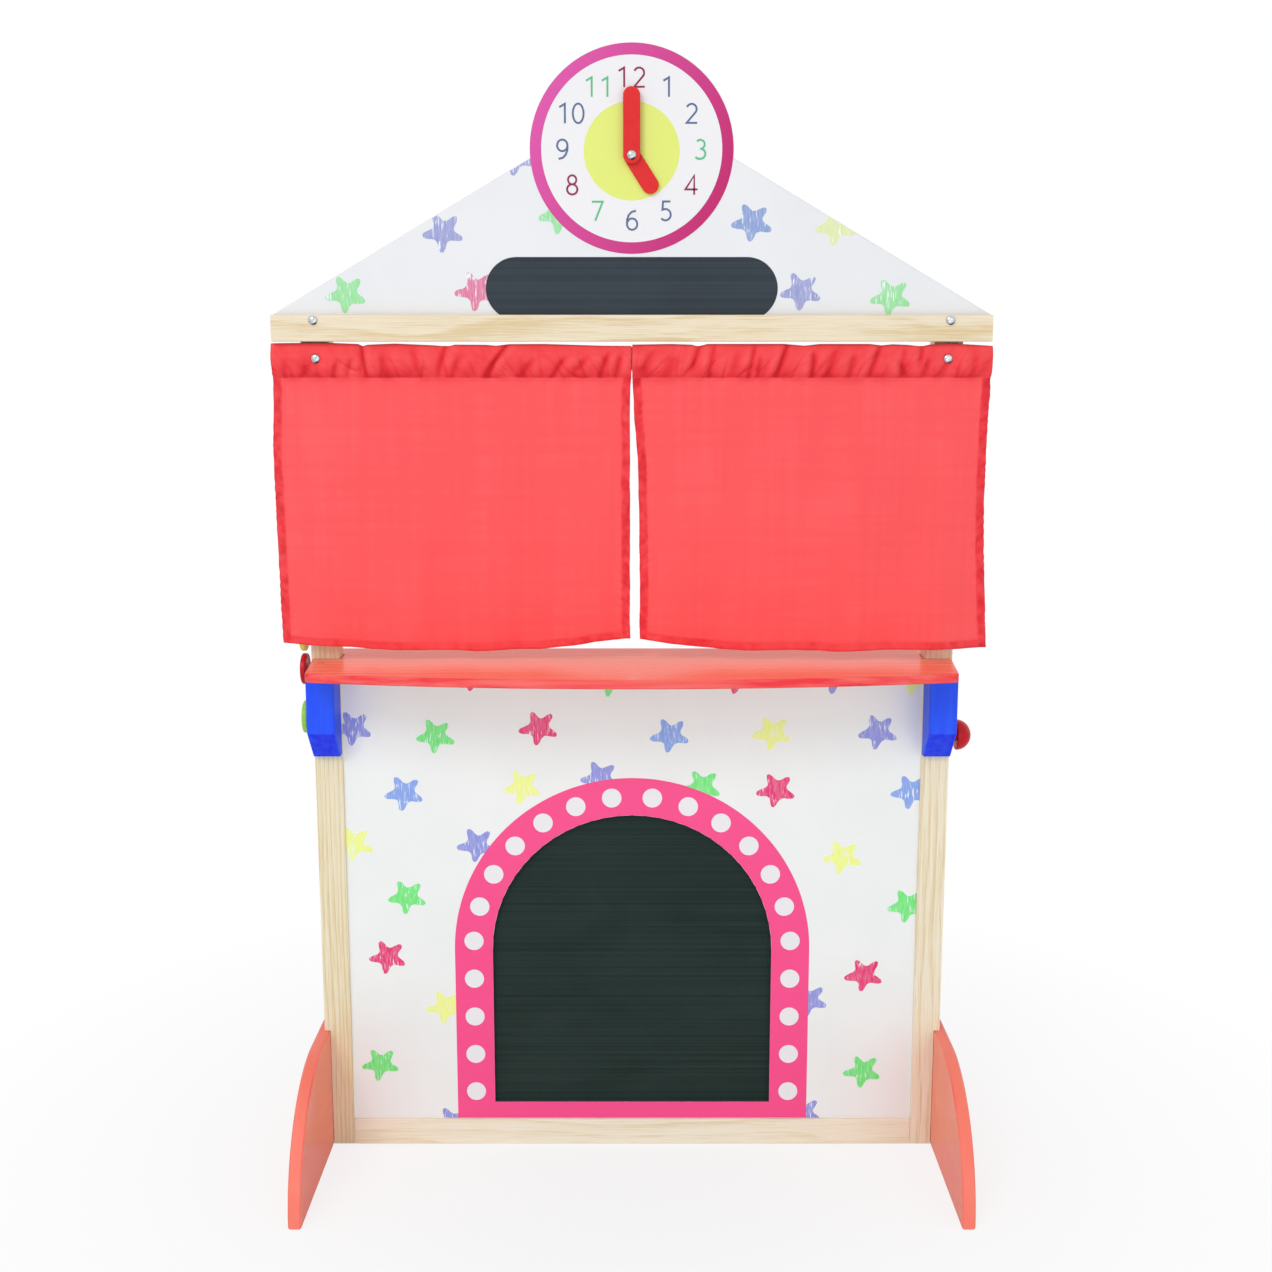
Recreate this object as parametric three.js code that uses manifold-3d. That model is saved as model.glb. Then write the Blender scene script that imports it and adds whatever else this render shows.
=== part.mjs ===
// A wooden puppet theatre stand for children. Two pine posts stand in a pair of half-oval feet
// and carry a printed front panel with a chalkboard window, a bowed shelf on two brackets, a pair
// of curtains on a flat rail, and a gable board with a toy clock.
// Millimetres. +X is to the viewer's right, +Y goes back and +Z goes up. The origin is on the
// floor, at the middle of the feet.

import * as THREE from "three";
import { mergeVertices } from "three/addons/utils/BufferGeometryUtils.js";
import Module from "manifold-3d";

const wasm = await Module();
wasm.setup();

// Clearances shared by the whole stand
const seat = 0.3; // between two faces that rest on each other
const runningGap = 0.35; // round a shaft that turns or slides in its hole
const overrun = 4; // how far a cutting body reaches past the face it cuts
const easedEdge = 0.8; // chamfer on sanded wooden edges

// Posts
const frameWidth = 694; // over the outer faces of the posts
const postWidth = 30;
const postDepth = 24;
const postAboveRailFoot = 33.5; // how far a post runs up behind the gable board

// Feet
const footLength = 390;
const footHeight = 137;
const footFlatLength = 104; // level stretch at the top of a foot
const footThickness = 14;
const footHousing = 6.5; // how deep a foot is let into its post
const footEdge = 1.6;

// Rails of the lower frame
const bottomRailHeight = 30;
const topRailHeight = 17;
const railDepth = 20;
const railLengthGap = 0.3; // at each end of a rail that stands between the posts
const dowelRadius = 4;
const dowelReach = 16; // into each of the two pieces that a dowel joins
const dowelEndGap = 1;

// Front panel, its arched window and the chalkboard behind it
const panelThickness = 5;
const panelRecess = 3; // from the front of the posts
const grooveDepth = 5;
const windowRadius = 156;
const windowFoot = 50; // height of the window's sill
const windowSpring = 232; // height at which the round head starts
const chalkboardThickness = 3;
const chalkboardMargin = 18; // lap behind the panel, all round
const boardScrewInset = 9; // from the edge of the chalkboard
const boardScrewLow = 96; // height of the lower pair of screws
const boardScrewShank = 6.6;
const boardScrewRadius = 1.3;
const boardScrewHeadRadius = 3;
const boardScrewHeadHeight = 1.6;

// Shelf
const shelfTop = 565;
const shelfThickness = 9.5;
const shelfEndInset = 8.5; // of the front corners, from the outer face of each post
const shelfPostInset = 1; // of the ends beside the posts, where the shelf is a little wider
const shelfFrontReach = 120.3; // in front of the posts, at the middle
const shelfBow = 34; // how far the middle stands out past the corners
const shelfBack = 61.7; // behind the front faces of the posts
const shelfCornerRadius = 8;
const shelfNotchGap = 0.6;
const shelfEdge = 1.2;

// Brackets under the shelf
const bracketHeight = 97.5;
const bracketDepth = 38;
const bracketToe = 8; // depth left at the bottom of the bracket
const bracketChamfer = 32; // height of the sloping face
const bracketEdge = 1;

// Gable board and the rail in front of its foot
const railFoot = 902.5; // height of the gable rail's lower edge
const railHeight = 27;
const railThickness = 12;
const gableOverhang = 27; // past the outer face of each post
const gableRise = 218.5; // from the rail's upper edge to where the slopes would meet
const gableThickness = 9;
const gableRailInset = 1; // each end of the rail stops short of the board
const clockRadius = 104.5;
const clockRise = 166; // from the rail's upper edge to the middle of the clock

// Clock hands and what carries them
const pivotDrop = 6.5; // the hands turn a little below the middle of the dial
const handWidth = 17.4;
const handThickness = 3;
const minuteReach = 67; // from the pivot to the round tip
const hourReach = 43.5;
const hourAngle = 147; // degrees clockwise from twelve
const handEdge = 0.5;
const clockWasherRadius = 7;
const clockWasherThickness = 1;

// Curtain rail and curtains
const curtainRailDrop = 5.5; // gap between the gable rail and the curtain rail
const curtainRailHeight = 24;
const curtainRailThickness = 10;
const curtainRailInset = 2.5; // each end of the rail stays inside the pocket
const clothThickness = 1.4;
const clothGap = 0.3; // between the cloth and the rail inside it
const pocketHeight = 32;
const curtainOverhang = 28.5; // past the outer face of each post
const curtainMeetGap = 1; // between the two pockets at the middle
const curtainPartGap = 4.2; // from the middle to the inner edge of a hanging panel
const curtainFloat = 11.5; // between the lowest hem and the shelf
const hemLift = 8.5; // how much higher the hem hangs at its corners
const seamGap = 0.45; // between the pocket and the panel that hangs from it
const foldDepth = 3.2; // how far the folds swing to each side at the hem
const foldPitch = 94; // from one fold to the next
const hemThickness = 2.2;
const hemHeight = 10;

// Fasteners
const boltRadius = 2.5;
const boltHeadRadius = 4.8;
const boltHeadHeight = 2.6;
const nutRadius = 4.6;
const nutHeight = 4;
const boltEnd = 1.5; // how far a bolt stands out of its nut
const upperBoltHeight = 21.5; // above the lower edge of the gable rail
const boltInset = 18; // from the outer face of the post
const screwRadius = 1.8;
const screwHeadRadius = 4;
const screwHeadHeight = 2.2;
const screwReach = 22;
const shelfScrewOut = 26; // in front of the post
const bracketBoltReach = 22; // into the bracket
const bracketBoltEdge = 26; // from each end of the bracket
const footBoltLow = 15;
const footBoltHigh = 98;
const footBoltReach = 20; // into the post
const footBoltLongReach = 44; // through the post into the bottom rail

// Discs that turn on the left post, and the knob on the right post
const discThickness = 6;
const discStandOff = 6; // from the side of the post
const discEdge = 1;
const discRadius = 17;
const greenDiscRadius = 18;
const redDiscDrop = 13.5; // middle of the red disc below the top of the shelf
const yellowDiscGap = 3; // between the yellow disc and the red one
const greenDiscGap = 18.5; // between the red disc and the green one
const spacerRadius = 5.5;
const axleRadius = 2.5;
const axleReach = 10; // into the post
const axleHeadRadius = 4.6;
const axleHeadHeight = 2.6;
const knobRadius = 16.8;
const knobDrop = 87.5; // middle of the knob below the top of the shelf
const knobNeckLength = 8;
const knobNeckRadius = 7;
const knobTenonRadius = 4;
const knobTenonLength = 12;

// Rounds are drawn with these counts
const arcSteps = 16;
const smallArcSteps = 8;
const boltSides = 12;
const knobSides = 28;
const domeSteps = 3;
const knobSteps = 6;
const hexSides = 6;

// Heights and depths that follow from the sizes above
const outerX = frameWidth / 2;
const innerX = outerX - postWidth;
const postFront = -postDepth / 2;
const postRear = postDepth / 2;
const gableBack = postFront - seat;
const gableFront = gableBack - gableThickness;
const railBack = gableFront - seat;
const railFront = railBack - railThickness;
const railTop = railFoot + railHeight;
const postTop = railFoot + postAboveRailFoot;
const clockZ = railTop + clockRise;
const pivotZ = clockZ - pivotDrop;
const shelfFoot = shelfTop - shelfThickness;
const topRailTop = shelfFoot - seat;
const topRailFoot = topRailTop - topRailHeight;
const panelFront = postFront + panelRecess;
const panelBack = panelFront + panelThickness;
const bracketTop = shelfFoot - seat;
const pocketBack = postFront - seat;
const curtainRailBack = pocketBack - clothThickness - clothGap;
const curtainRailFront = curtainRailBack - curtainRailThickness;
const pocketFront = curtainRailFront - clothGap - clothThickness;
const curtainRailTop = railFoot - curtainRailDrop;
const curtainRailFoot = curtainRailTop - curtainRailHeight;
const pocketTop = curtainRailTop + clothGap + clothThickness;
const pocketFoot = pocketTop - pocketHeight;
const curtainBoltZ = curtainRailTop - curtainRailHeight / 2;
const curtainPlane = (curtainRailBack + curtainRailFront) / 2;
const curtainHem = shelfTop + curtainFloat;
const boltX = outerX - boltInset;
const railMiddle = postFront + railDepth / 2;
const dowelZ = (topRailFoot + grooveDepth + topRailTop) / 2;
const bracketBoltTop = bracketTop - bracketBoltEdge;
const bracketBoltFoot = bracketTop - bracketHeight + bracketBoltEdge + bracketChamfer / 2;
const shelfScrewY = postFront - shelfScrewOut;
const redDiscZ = shelfTop - redDiscDrop;
const yellowDiscZ = redDiscZ + discRadius + yellowDiscGap + discRadius;
const greenDiscZ = redDiscZ - discRadius - greenDiscGap - greenDiscRadius;
const knobZ = shelfTop - knobDrop;

// Colours and surfaces
const finishes = {
  pine: { color: 0xead9b8, roughness: 0.6, metalness: 0 },
  whiteBoard: { color: 0xeceff0, roughness: 0.45, metalness: 0 },
  chalkboard: { color: 0x25352f, roughness: 0.85, metalness: 0 },
  redLacquer: { color: 0xfc5a5c, roughness: 0.2, metalness: 0 },
  blueLacquer: { color: 0x2c5bf8, roughness: 0.3, metalness: 0 },
  handRed: { color: 0xe82c2e, roughness: 0.4, metalness: 0 },
  redCloth: { color: 0xfc5558, roughness: 0.9, metalness: 0 },
  yellowPaint: { color: 0xeeec7a, roughness: 0.35, metalness: 0 },
  greenPaint: { color: 0x8fd04a, roughness: 0.35, metalness: 0 },
  darkRedPaint: { color: 0xd8202c, roughness: 0.25, metalness: 0 },
  steel: { color: 0xc8ccd0, roughness: 0.25, metalness: 1 },
};

const stand = new THREE.Group();

// Adds one named piece with its own material
function addPiece(name, geometry, finish) {
  const mesh = new THREE.Mesh(geometry, new THREE.MeshStandardMaterial(finishes[finish]));
  mesh.name = name;
  stand.add(mesh);
}

// A closed geometry as a solid that can be cut and joined
function toSolid(geometry) {
  const bare = geometry.clone();
  bare.deleteAttribute("normal");
  bare.deleteAttribute("uv");
  const merged = mergeVertices(bare);
  return new wasm.Manifold(
    new wasm.Mesh({
      numProp: 3,
      vertProperties: new Float32Array(merged.attributes.position.array),
      triVerts: new Uint32Array(merged.index.array),
    }),
  );
}

// A solid as a geometry
function toGeometry(solid) {
  const mesh = solid.getMesh();
  const geometry = new THREE.BufferGeometry();
  geometry.setAttribute("position", new THREE.BufferAttribute(mesh.vertProperties, mesh.numProp));
  geometry.setIndex(new THREE.BufferAttribute(mesh.triVerts, 1));
  return geometry;
}

// A geometry with other geometries cut out of it
function cut(geometry, ...tools) {
  let solid = toSolid(geometry);
  for (const tool of tools) solid = solid.subtract(toSolid(tool));
  return toGeometry(solid);
}

// An outline extruded to a thickness, with its edges eased by a chamfer
function extruded(shape, thickness, edge, steps = arcSteps) {
  return new THREE.ExtrudeGeometry(shape, {
    depth: thickness - 2 * edge,
    bevelEnabled: edge > 0,
    bevelThickness: edge,
    bevelSize: edge,
    bevelOffset: -edge,
    bevelSegments: 1,
    curveSegments: steps,
  }).translate(0, 0, edge);
}

// An outline drawn in X and Z that starts at a depth and is as thick as given towards the back
function upright(shape, front, thickness, edge, steps) {
  return extruded(shape, thickness, edge, steps)
    .rotateX(Math.PI / 2)
    .translate(0, front + thickness, 0);
}

// An outline drawn in Y and Z that starts at an X and is as thick as given towards +X
function sideways(shape, left, thickness, edge, steps) {
  const turn = new THREE.Matrix4().makeBasis(
    new THREE.Vector3(0, 1, 0),
    new THREE.Vector3(0, 0, 1),
    new THREE.Vector3(1, 0, 0),
  );
  return extruded(shape, thickness, edge, steps).applyMatrix4(turn).translate(left, 0, 0);
}

// An outline drawn in X and Y that starts at a height
function lying(shape, foot, thickness, edge) {
  return extruded(shape, thickness, edge).translate(0, 0, foot);
}

// A rectangle between two corners
function rectangle(left, low, right, high) {
  const shape = new THREE.Shape();
  shape.moveTo(left, low);
  shape.lineTo(right, low);
  shape.lineTo(right, high);
  shape.lineTo(left, high);
  shape.closePath();
  return shape;
}

// A bar between two ends along each axis, its edges eased; the ends of X may come in either order
function bar(xEnds, yEnds, zEnds, edge) {
  const shape = rectangle(Math.min(...xEnds), yEnds[0], Math.max(...xEnds), yEnds[1]);
  return lying(shape, zEnds[0], zEnds[1] - zEnds[0], edge);
}

// A round rod along X between two ends in either order
function rodAlongX(radius, start, end, y, z) {
  return new THREE.CylinderGeometry(radius, radius, Math.abs(end - start), boltSides)
    .rotateZ(-Math.PI / 2)
    .translate((start + end) / 2, y, z);
}

// A round rod from front to back
function rodAlongY(radius, front, back, x, z) {
  return new THREE.CylinderGeometry(radius, radius, back - front, boltSides)
    .translate(x, (front + back) / 2, z);
}

// The hole of a bolt that runs from front to back through a piece
function boltHole(x, z, front, back) {
  return rodAlongY(boltRadius + runningGap, front - overrun, back + overrun, x, z);
}

// A vertical rod between two heights
function uprightRod(radius, x, y, low, high) {
  return new THREE.CylinderGeometry(radius, radius, high - low, boltSides)
    .rotateX(Math.PI / 2)
    .translate(x, y, (high + low) / 2);
}

// A profile of radius and height turned about the Y axis, standing on its own origin
function turned(points, sides) {
  return new THREE.LatheGeometry(
    points.map(([radius, height]) => new THREE.Vector2(radius, height)),
    sides,
  );
}

// The points of a domed head from its rim to its crown
function domePoints(rimRadius, rise, from, steps) {
  const points = [];
  for (let i = 0; i <= steps; i += 1) {
    const angle = (i / steps) * (Math.PI / 2);
    const radius = i === steps ? 0 : rimRadius * Math.cos(angle);
    points.push([radius, from + rise * Math.sin(angle)]);
  }
  return points;
}

// A bolt with a domed head, its shank going down from the face that the head sits on
function domedBolt(shankRadius, headRadius, headHeight, shankLength) {
  return turned(
    [
      [0, -shankLength],
      [shankRadius, -shankLength],
      [shankRadius, 0],
      ...domePoints(headRadius, headHeight, 0, domeSteps),
    ],
    boltSides,
  );
}

// A domed bolt placed with its head facing the front
function frontBolt(x, z, headSeat, shankLength) {
  return domedBolt(boltRadius, boltHeadRadius, boltHeadHeight, shankLength)
    .rotateX(Math.PI)
    .translate(x, headSeat, z);
}

// A six-sided nut on a bolt that runs from front to back
function hexNut(x, z, start) {
  const shape = new THREE.Shape();
  for (let i = 0; i < hexSides; i += 1) {
    const angle = (i / hexSides) * 2 * Math.PI;
    const [px, pz] = [nutRadius * Math.cos(angle), nutRadius * Math.sin(angle)];
    if (i === 0) shape.moveTo(px, pz);
    else shape.lineTo(px, pz);
  }
  shape.closePath();
  const hole = new THREE.Path();
  hole.absarc(0, 0, boltRadius + runningGap, 0, 2 * Math.PI, true);
  shape.holes.push(hole);
  return upright(shape, start, nutHeight, 0, smallArcSteps).translate(x, 0, z);
}

// The discs, from the top down
const discs = [
  { name: "yellow_disc", finish: "yellowPaint", radius: discRadius, z: yellowDiscZ },
  { name: "red_disc", finish: "darkRedPaint", radius: discRadius, z: redDiscZ },
  { name: "green_disc", finish: "greenPaint", radius: greenDiscRadius, z: greenDiscZ },
];

// The left and right hand of a pair
const hands = [
  { name: "left", side: -1 },
  { name: "right", side: 1 },
];

// Post, housed for its foot, grooved for the panel and bored for everything fixed to it
function makePost(side) {
  const body = bar(
    [side * innerX, side * outerX],
    [postFront, postRear],
    [0, postTop],
    easedEdge,
  );
  const housing = bar(
    [side * (outerX - footHousing), side * (outerX + overrun)],
    [postFront - overrun, postRear + overrun],
    [-overrun, footHeight + seat],
    0,
  );
  const groove = bar(
    [side * (innerX + grooveDepth), side * (innerX - overrun)],
    [panelFront - seat, panelBack + seat],
    [bottomRailHeight - grooveDepth, topRailFoot + grooveDepth],
    0,
  );
  const across = (radius, from, to, y, z) =>
    rodAlongX(radius + runningGap, side * from, side * to, y, z);
  const holes = [
    boltHole(side * boltX, railFoot + upperBoltHeight, postFront, postRear),
    boltHole(side * boltX, curtainBoltZ, postFront, postRear),
    boltHole(bracketMiddle(side), bracketBoltTop, postFront, postRear),
    boltHole(bracketMiddle(side), bracketBoltFoot, postFront, postRear),
    across(boltRadius, innerX - overrun, outerX, 0, footBoltLow),
    across(boltRadius, outerX - footBoltReach - runningGap, outerX, 0, footBoltHigh),
    across(dowelRadius, innerX - overrun, innerX + dowelReach, railMiddle, dowelZ),
  ];
  if (side < 0) {
    const end = outerX - axleReach - runningGap;
    for (const { z } of discs) holes.push(across(axleRadius, end, outerX + overrun, 0, z));
  } else {
    const end = outerX - knobTenonLength - runningGap;
    holes.push(across(knobTenonRadius, end, outerX + overrun, 0, knobZ));
  }
  return cut(body, housing, groove, ...holes);
}

function bracketMiddle(side) {
  return side * (outerX - postWidth / 2);
}

// Rail between the posts, grooved for the panel
function makeFrameRail(zEnds, grooveEnds, holes) {
  const end = innerX - railLengthGap;
  const body = bar([-end, end], [postFront, postFront + railDepth], zEnds, easedEdge);
  const groove = bar(
    [-end - overrun, end + overrun],
    [panelFront - seat, panelBack + seat],
    grooveEnds,
    0,
  );
  return cut(body, groove, ...holes);
}

function makeBottomRail() {
  const end = outerX - footBoltLongReach - runningGap;
  const holes = hands.map(({ side }) =>
    rodAlongX(boltRadius + runningGap, side * end, side * (innerX + overrun), 0, footBoltLow),
  );
  const grooveEnds = [bottomRailHeight - grooveDepth, bottomRailHeight + overrun];
  return makeFrameRail([0, bottomRailHeight], grooveEnds, holes);
}

function makeTopRail() {
  const end = innerX - dowelReach;
  const holes = hands.map(({ side }) =>
    rodAlongX(
      dowelRadius + runningGap,
      side * end,
      side * (innerX + overrun),
      railMiddle,
      dowelZ,
    ),
  );
  const grooveEnds = [topRailFoot - overrun, topRailFoot + grooveDepth];
  return makeFrameRail([topRailFoot, topRailTop], grooveEnds, holes);
}

function makeDowel(side) {
  const inner = innerX - dowelReach + dowelEndGap;
  const outer = innerX + dowelReach - dowelEndGap;
  return rodAlongX(dowelRadius, side * inner, side * outer, railMiddle, dowelZ);
}

// An arch with a level foot, drawn in X and Z
function archOutline(target, radius, foot, spring, clockwise) {
  target.moveTo(-radius, foot);
  if (clockwise) {
    target.lineTo(-radius, spring);
    target.absarc(0, spring, radius, Math.PI, 0, true);
    target.lineTo(radius, foot);
  } else {
    target.lineTo(radius, foot);
    target.lineTo(radius, spring);
    target.absarc(0, spring, radius, 0, Math.PI, false);
  }
  target.closePath();
  return target;
}

// Front panel, held in grooves all round, with the arched window
function makeFrontPanel() {
  const reach = innerX + grooveDepth - seat;
  const low = bottomRailHeight - grooveDepth + seat;
  const high = topRailFoot + grooveDepth - seat;
  const shape = rectangle(-reach, low, reach, high);
  shape.holes.push(archOutline(new THREE.Path(), windowRadius, windowFoot, windowSpring, true));
  const holeEnd = boardScrewSeat - boardScrewShank - runningGap;
  return cut(
    upright(shape, panelFront, panelThickness, 0),
    ...boardScrewHoles(holeEnd, panelBack + overrun),
  );
}

function makeChalkboard() {
  const radius = windowRadius + chalkboardMargin;
  const foot = Math.max(windowFoot - chalkboardMargin, bottomRailHeight + seat);
  const shape = archOutline(new THREE.Shape(), radius, foot, windowSpring, false);
  const front = panelBack + seat;
  return cut(
    upright(shape, front, chalkboardThickness, 0),
    ...boardScrewHoles(front - overrun, front + chalkboardThickness + overrun),
  );
}

// Where the four screws go that hold the chalkboard to the back of the panel
const boardScrewX = windowRadius + chalkboardMargin - boardScrewInset;
const boardScrewSeat = panelBack + seat + chalkboardThickness + seat;
const boardScrews = hands.flatMap(({ name, side }) => [
  { name: `${name}_board_screw_lower`, x: side * boardScrewX, z: boardScrewLow },
  { name: `${name}_board_screw_upper`, x: side * boardScrewX, z: windowSpring },
]);

function boardScrewHoles(front, back) {
  return boardScrews.map(({ x, z }) =>
    rodAlongY(boardScrewRadius + runningGap, front, back, x, z),
  );
}

function makeBoardScrew(x, z) {
  return domedBolt(boardScrewRadius, boardScrewHeadRadius, boardScrewHeadHeight, boardScrewShank)
    .translate(x, boardScrewSeat, z);
}

// Half-oval foot, drawn in Y and Z
function footOutline() {
  const flat = footFlatLength / 2;
  const run = footLength / 2 - flat;
  const shape = new THREE.Shape();
  shape.moveTo(-footLength / 2, 0);
  shape.lineTo(footLength / 2, 0);
  shape.absellipse(flat, 0, run, footHeight, 0, Math.PI / 2, false, 0);
  shape.lineTo(-flat, footHeight);
  shape.absellipse(-flat, 0, run, footHeight, Math.PI / 2, Math.PI, false, 0);
  return shape;
}

function makeFoot(side) {
  const near = side * (outerX - footHousing + seat);
  const far = side * (outerX - footHousing + seat + footThickness);
  const body = sideways(footOutline(), Math.min(near, far), footThickness, footEdge);
  const start = near - side * overrun;
  const end = far + side * overrun;
  const holes = [footBoltLow, footBoltHigh].map((z) =>
    rodAlongX(boltRadius + runningGap, start, end, 0, z),
  );
  return cut(body, ...holes);
}

// A foot's bolt with its head outside
function makeFootBolt(side, z, reach) {
  const headSeat = outerX - footHousing + seat + footThickness + seat;
  const bolt = domedBolt(boltRadius, boltHeadRadius, boltHeadHeight, headSeat - outerX + reach);
  return bolt.rotateZ(-side * (Math.PI / 2)).translate(side * headSeat, 0, z);
}

// Shelf with a bowed front edge, notched at both ends for the posts, drawn in X and Y
function shelfOutline() {
  const half = outerX - shelfEndInset;
  const wide = outerX - shelfPostInset;
  const back = postFront + shelfBack;
  const front = postFront - shelfFrontReach;
  const cornerY = front + shelfBow;
  const bowRadius = (half * half + shelfBow * shelfBow) / (2 * shelfBow);
  const centreY = front + bowRadius;
  const innerReach = half - shelfCornerRadius;
  const bowAngle = Math.asin(innerReach / bowRadius);
  const notchX = innerX - shelfNotchGap;
  const notchFront = postFront - shelfNotchGap;
  const notchBack = postRear + shelfNotchGap;
  const shape = new THREE.Shape();
  shape.moveTo(-wide, back);
  shape.lineTo(-wide, notchBack);
  shape.lineTo(-notchX, notchBack);
  shape.lineTo(-notchX, notchFront);
  shape.lineTo(-wide, notchFront);
  shape.lineTo(-half, cornerY + shelfCornerRadius);
  shape.quadraticCurveTo(-half, cornerY, -innerReach, centreY - bowRadius * Math.cos(bowAngle));
  const start = -Math.PI / 2 - bowAngle;
  shape.absarc(0, centreY, bowRadius, start, -Math.PI / 2 + bowAngle, false);
  shape.quadraticCurveTo(half, cornerY, half, cornerY + shelfCornerRadius);
  shape.lineTo(wide, notchFront);
  shape.lineTo(notchX, notchFront);
  shape.lineTo(notchX, notchBack);
  shape.lineTo(wide, notchBack);
  shape.lineTo(wide, back);
  shape.closePath();
  return shape;
}

// Countersunk head of a shelf screw, from its tip to its level face, drawn downwards
function sunkScrewPoints(clearance) {
  const head = screwHeadRadius + clearance;
  const shank = screwRadius + clearance;
  return [
    [0, -screwReach - clearance],
    [shank, -screwReach - clearance],
    [shank, -screwHeadHeight],
    [head, 0],
    [0, 0],
  ];
}

function sunkScrew(x, y, top, clearance) {
  return turned(sunkScrewPoints(clearance), boltSides).rotateX(Math.PI / 2).translate(x, y, top);
}

function makeShelf() {
  const body = lying(shelfOutline(), shelfFoot, shelfThickness, shelfEdge);
  const sinks = hands.map(({ side }) =>
    sunkScrew(bracketMiddle(side), shelfScrewY, shelfTop, runningGap),
  );
  const mouths = hands.map(({ side }) =>
    uprightRod(
      screwHeadRadius + runningGap,
      bracketMiddle(side),
      shelfScrewY,
      shelfTop - runningGap,
      shelfTop + overrun,
    ),
  );
  return cut(body, ...sinks, ...mouths);
}

// Bracket with a sloping lower front, drawn in Y and Z
function makeBracket(side) {
  const back = postFront - seat;
  const front = back - bracketDepth;
  const foot = bracketTop - bracketHeight;
  const shape = new THREE.Shape();
  shape.moveTo(back, foot);
  shape.lineTo(back, bracketTop);
  shape.lineTo(front, bracketTop);
  shape.lineTo(front, foot + bracketChamfer);
  shape.lineTo(back - bracketToe, foot);
  shape.closePath();
  const left = Math.min(side * innerX, side * outerX);
  const body = sideways(shape, left, postWidth, bracketEdge);
  const end = back - bracketBoltReach - runningGap;
  const bolts = [bracketBoltTop, bracketBoltFoot].map((z) =>
    rodAlongY(boltRadius + runningGap, end, back + overrun, bracketMiddle(side), z),
  );
  const screw = uprightRod(
    screwRadius + runningGap,
    bracketMiddle(side),
    shelfScrewY,
    shelfTop - screwReach - runningGap,
    bracketTop + overrun,
  );
  return cut(body, ...bolts, screw);
}

// A bracket's bolt with its head on the back of the post
function makeBracketBolt(side, z) {
  const length = postDepth + seat + bracketBoltReach;
  return domedBolt(boltRadius, boltHeadRadius, boltHeadHeight, length)
    .translate(bracketMiddle(side), postRear + seat, z);
}

// Gable board: a low triangle that runs into the round of the clock
function gableOutline() {
  const half = outerX + gableOverhang;
  const slope = gableRise / half;
  const apex = railTop + gableRise;
  // Where the slope meets the clock's edge: (x, apex - slope x) on the circle round clockZ
  const a = 1 + slope * slope;
  const b = -2 * slope * (apex - clockZ);
  const c = (apex - clockZ) * (apex - clockZ) - clockRadius * clockRadius;
  const meetX = (-b + Math.sqrt(b * b - 4 * a * c)) / (2 * a);
  const meetZ = apex - slope * meetX;
  const meetAngle = Math.atan2(meetZ - clockZ, meetX);
  const shape = new THREE.Shape();
  shape.moveTo(-half, railFoot);
  shape.lineTo(half, railFoot);
  shape.lineTo(half, railTop);
  shape.lineTo(meetX, meetZ);
  shape.absarc(0, clockZ, clockRadius, meetAngle, Math.PI - meetAngle, false);
  shape.lineTo(-half, railTop);
  shape.closePath();
  return shape;
}

function makeGableBoard() {
  const body = upright(gableOutline(), gableFront, gableThickness, easedEdge);
  const bolts = hands.map(({ side }) =>
    boltHole(side * boltX, railFoot + upperBoltHeight, gableFront, gableBack),
  );
  return cut(body, ...bolts, boltHole(0, pivotZ, gableFront, gableBack));
}

function makeGableRail() {
  const half = outerX + gableOverhang - gableRailInset;
  const body = bar([-half, half], [railFront, railBack], [railFoot, railTop], easedEdge);
  const bolts = hands.map(({ side }) =>
    boltHole(side * boltX, railFoot + upperBoltHeight, railFront, railBack),
  );
  return cut(body, ...bolts);
}

// The clock: washers, hands and a domed bolt stacked in front of the board
const washerY = gableFront - seat - clockWasherThickness;
const hourHandY = washerY - seat - handThickness;
const middleWasherY = hourHandY - seat - clockWasherThickness;
const minuteHandY = middleWasherY - seat - handThickness;
const clockBoltSeat = minuteHandY - seat;

function handOutline(reach) {
  const radius = handWidth / 2;
  const shape = new THREE.Shape();
  shape.moveTo(radius, 0);
  shape.lineTo(radius, reach - radius);
  shape.absarc(0, reach - radius, radius, 0, Math.PI, false);
  shape.lineTo(-radius, 0);
  shape.absarc(0, 0, radius, Math.PI, 2 * Math.PI, false);
  const hole = new THREE.Path();
  hole.absarc(0, 0, boltRadius + runningGap, 0, 2 * Math.PI, true);
  shape.holes.push(hole);
  return shape;
}

function makeHand(reach, front, angle) {
  return upright(handOutline(reach), front, handThickness, handEdge, smallArcSteps)
    .rotateY(THREE.MathUtils.degToRad(angle))
    .translate(0, 0, pivotZ);
}

function makeClockWasher(front) {
  const shape = new THREE.Shape();
  shape.absarc(0, 0, clockWasherRadius, 0, 2 * Math.PI, false);
  const hole = new THREE.Path();
  hole.absarc(0, 0, boltRadius + runningGap, 0, 2 * Math.PI, true);
  shape.holes.push(hole);
  return upright(shape, front, clockWasherThickness, 0, smallArcSteps).translate(0, 0, pivotZ);
}

// Curtain rail, a flat strip inside the pockets
function makeCurtainRail() {
  const half = outerX + curtainOverhang - curtainRailInset;
  const body = bar(
    [-half, half],
    [curtainRailFront, curtainRailBack],
    [curtainRailFoot, curtainRailTop],
    easedEdge,
  );
  const bolts = hands.map(({ side }) =>
    boltHole(side * boltX, curtainBoltZ, curtainRailFront, curtainRailBack),
  );
  return cut(body, ...bolts);
}

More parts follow.
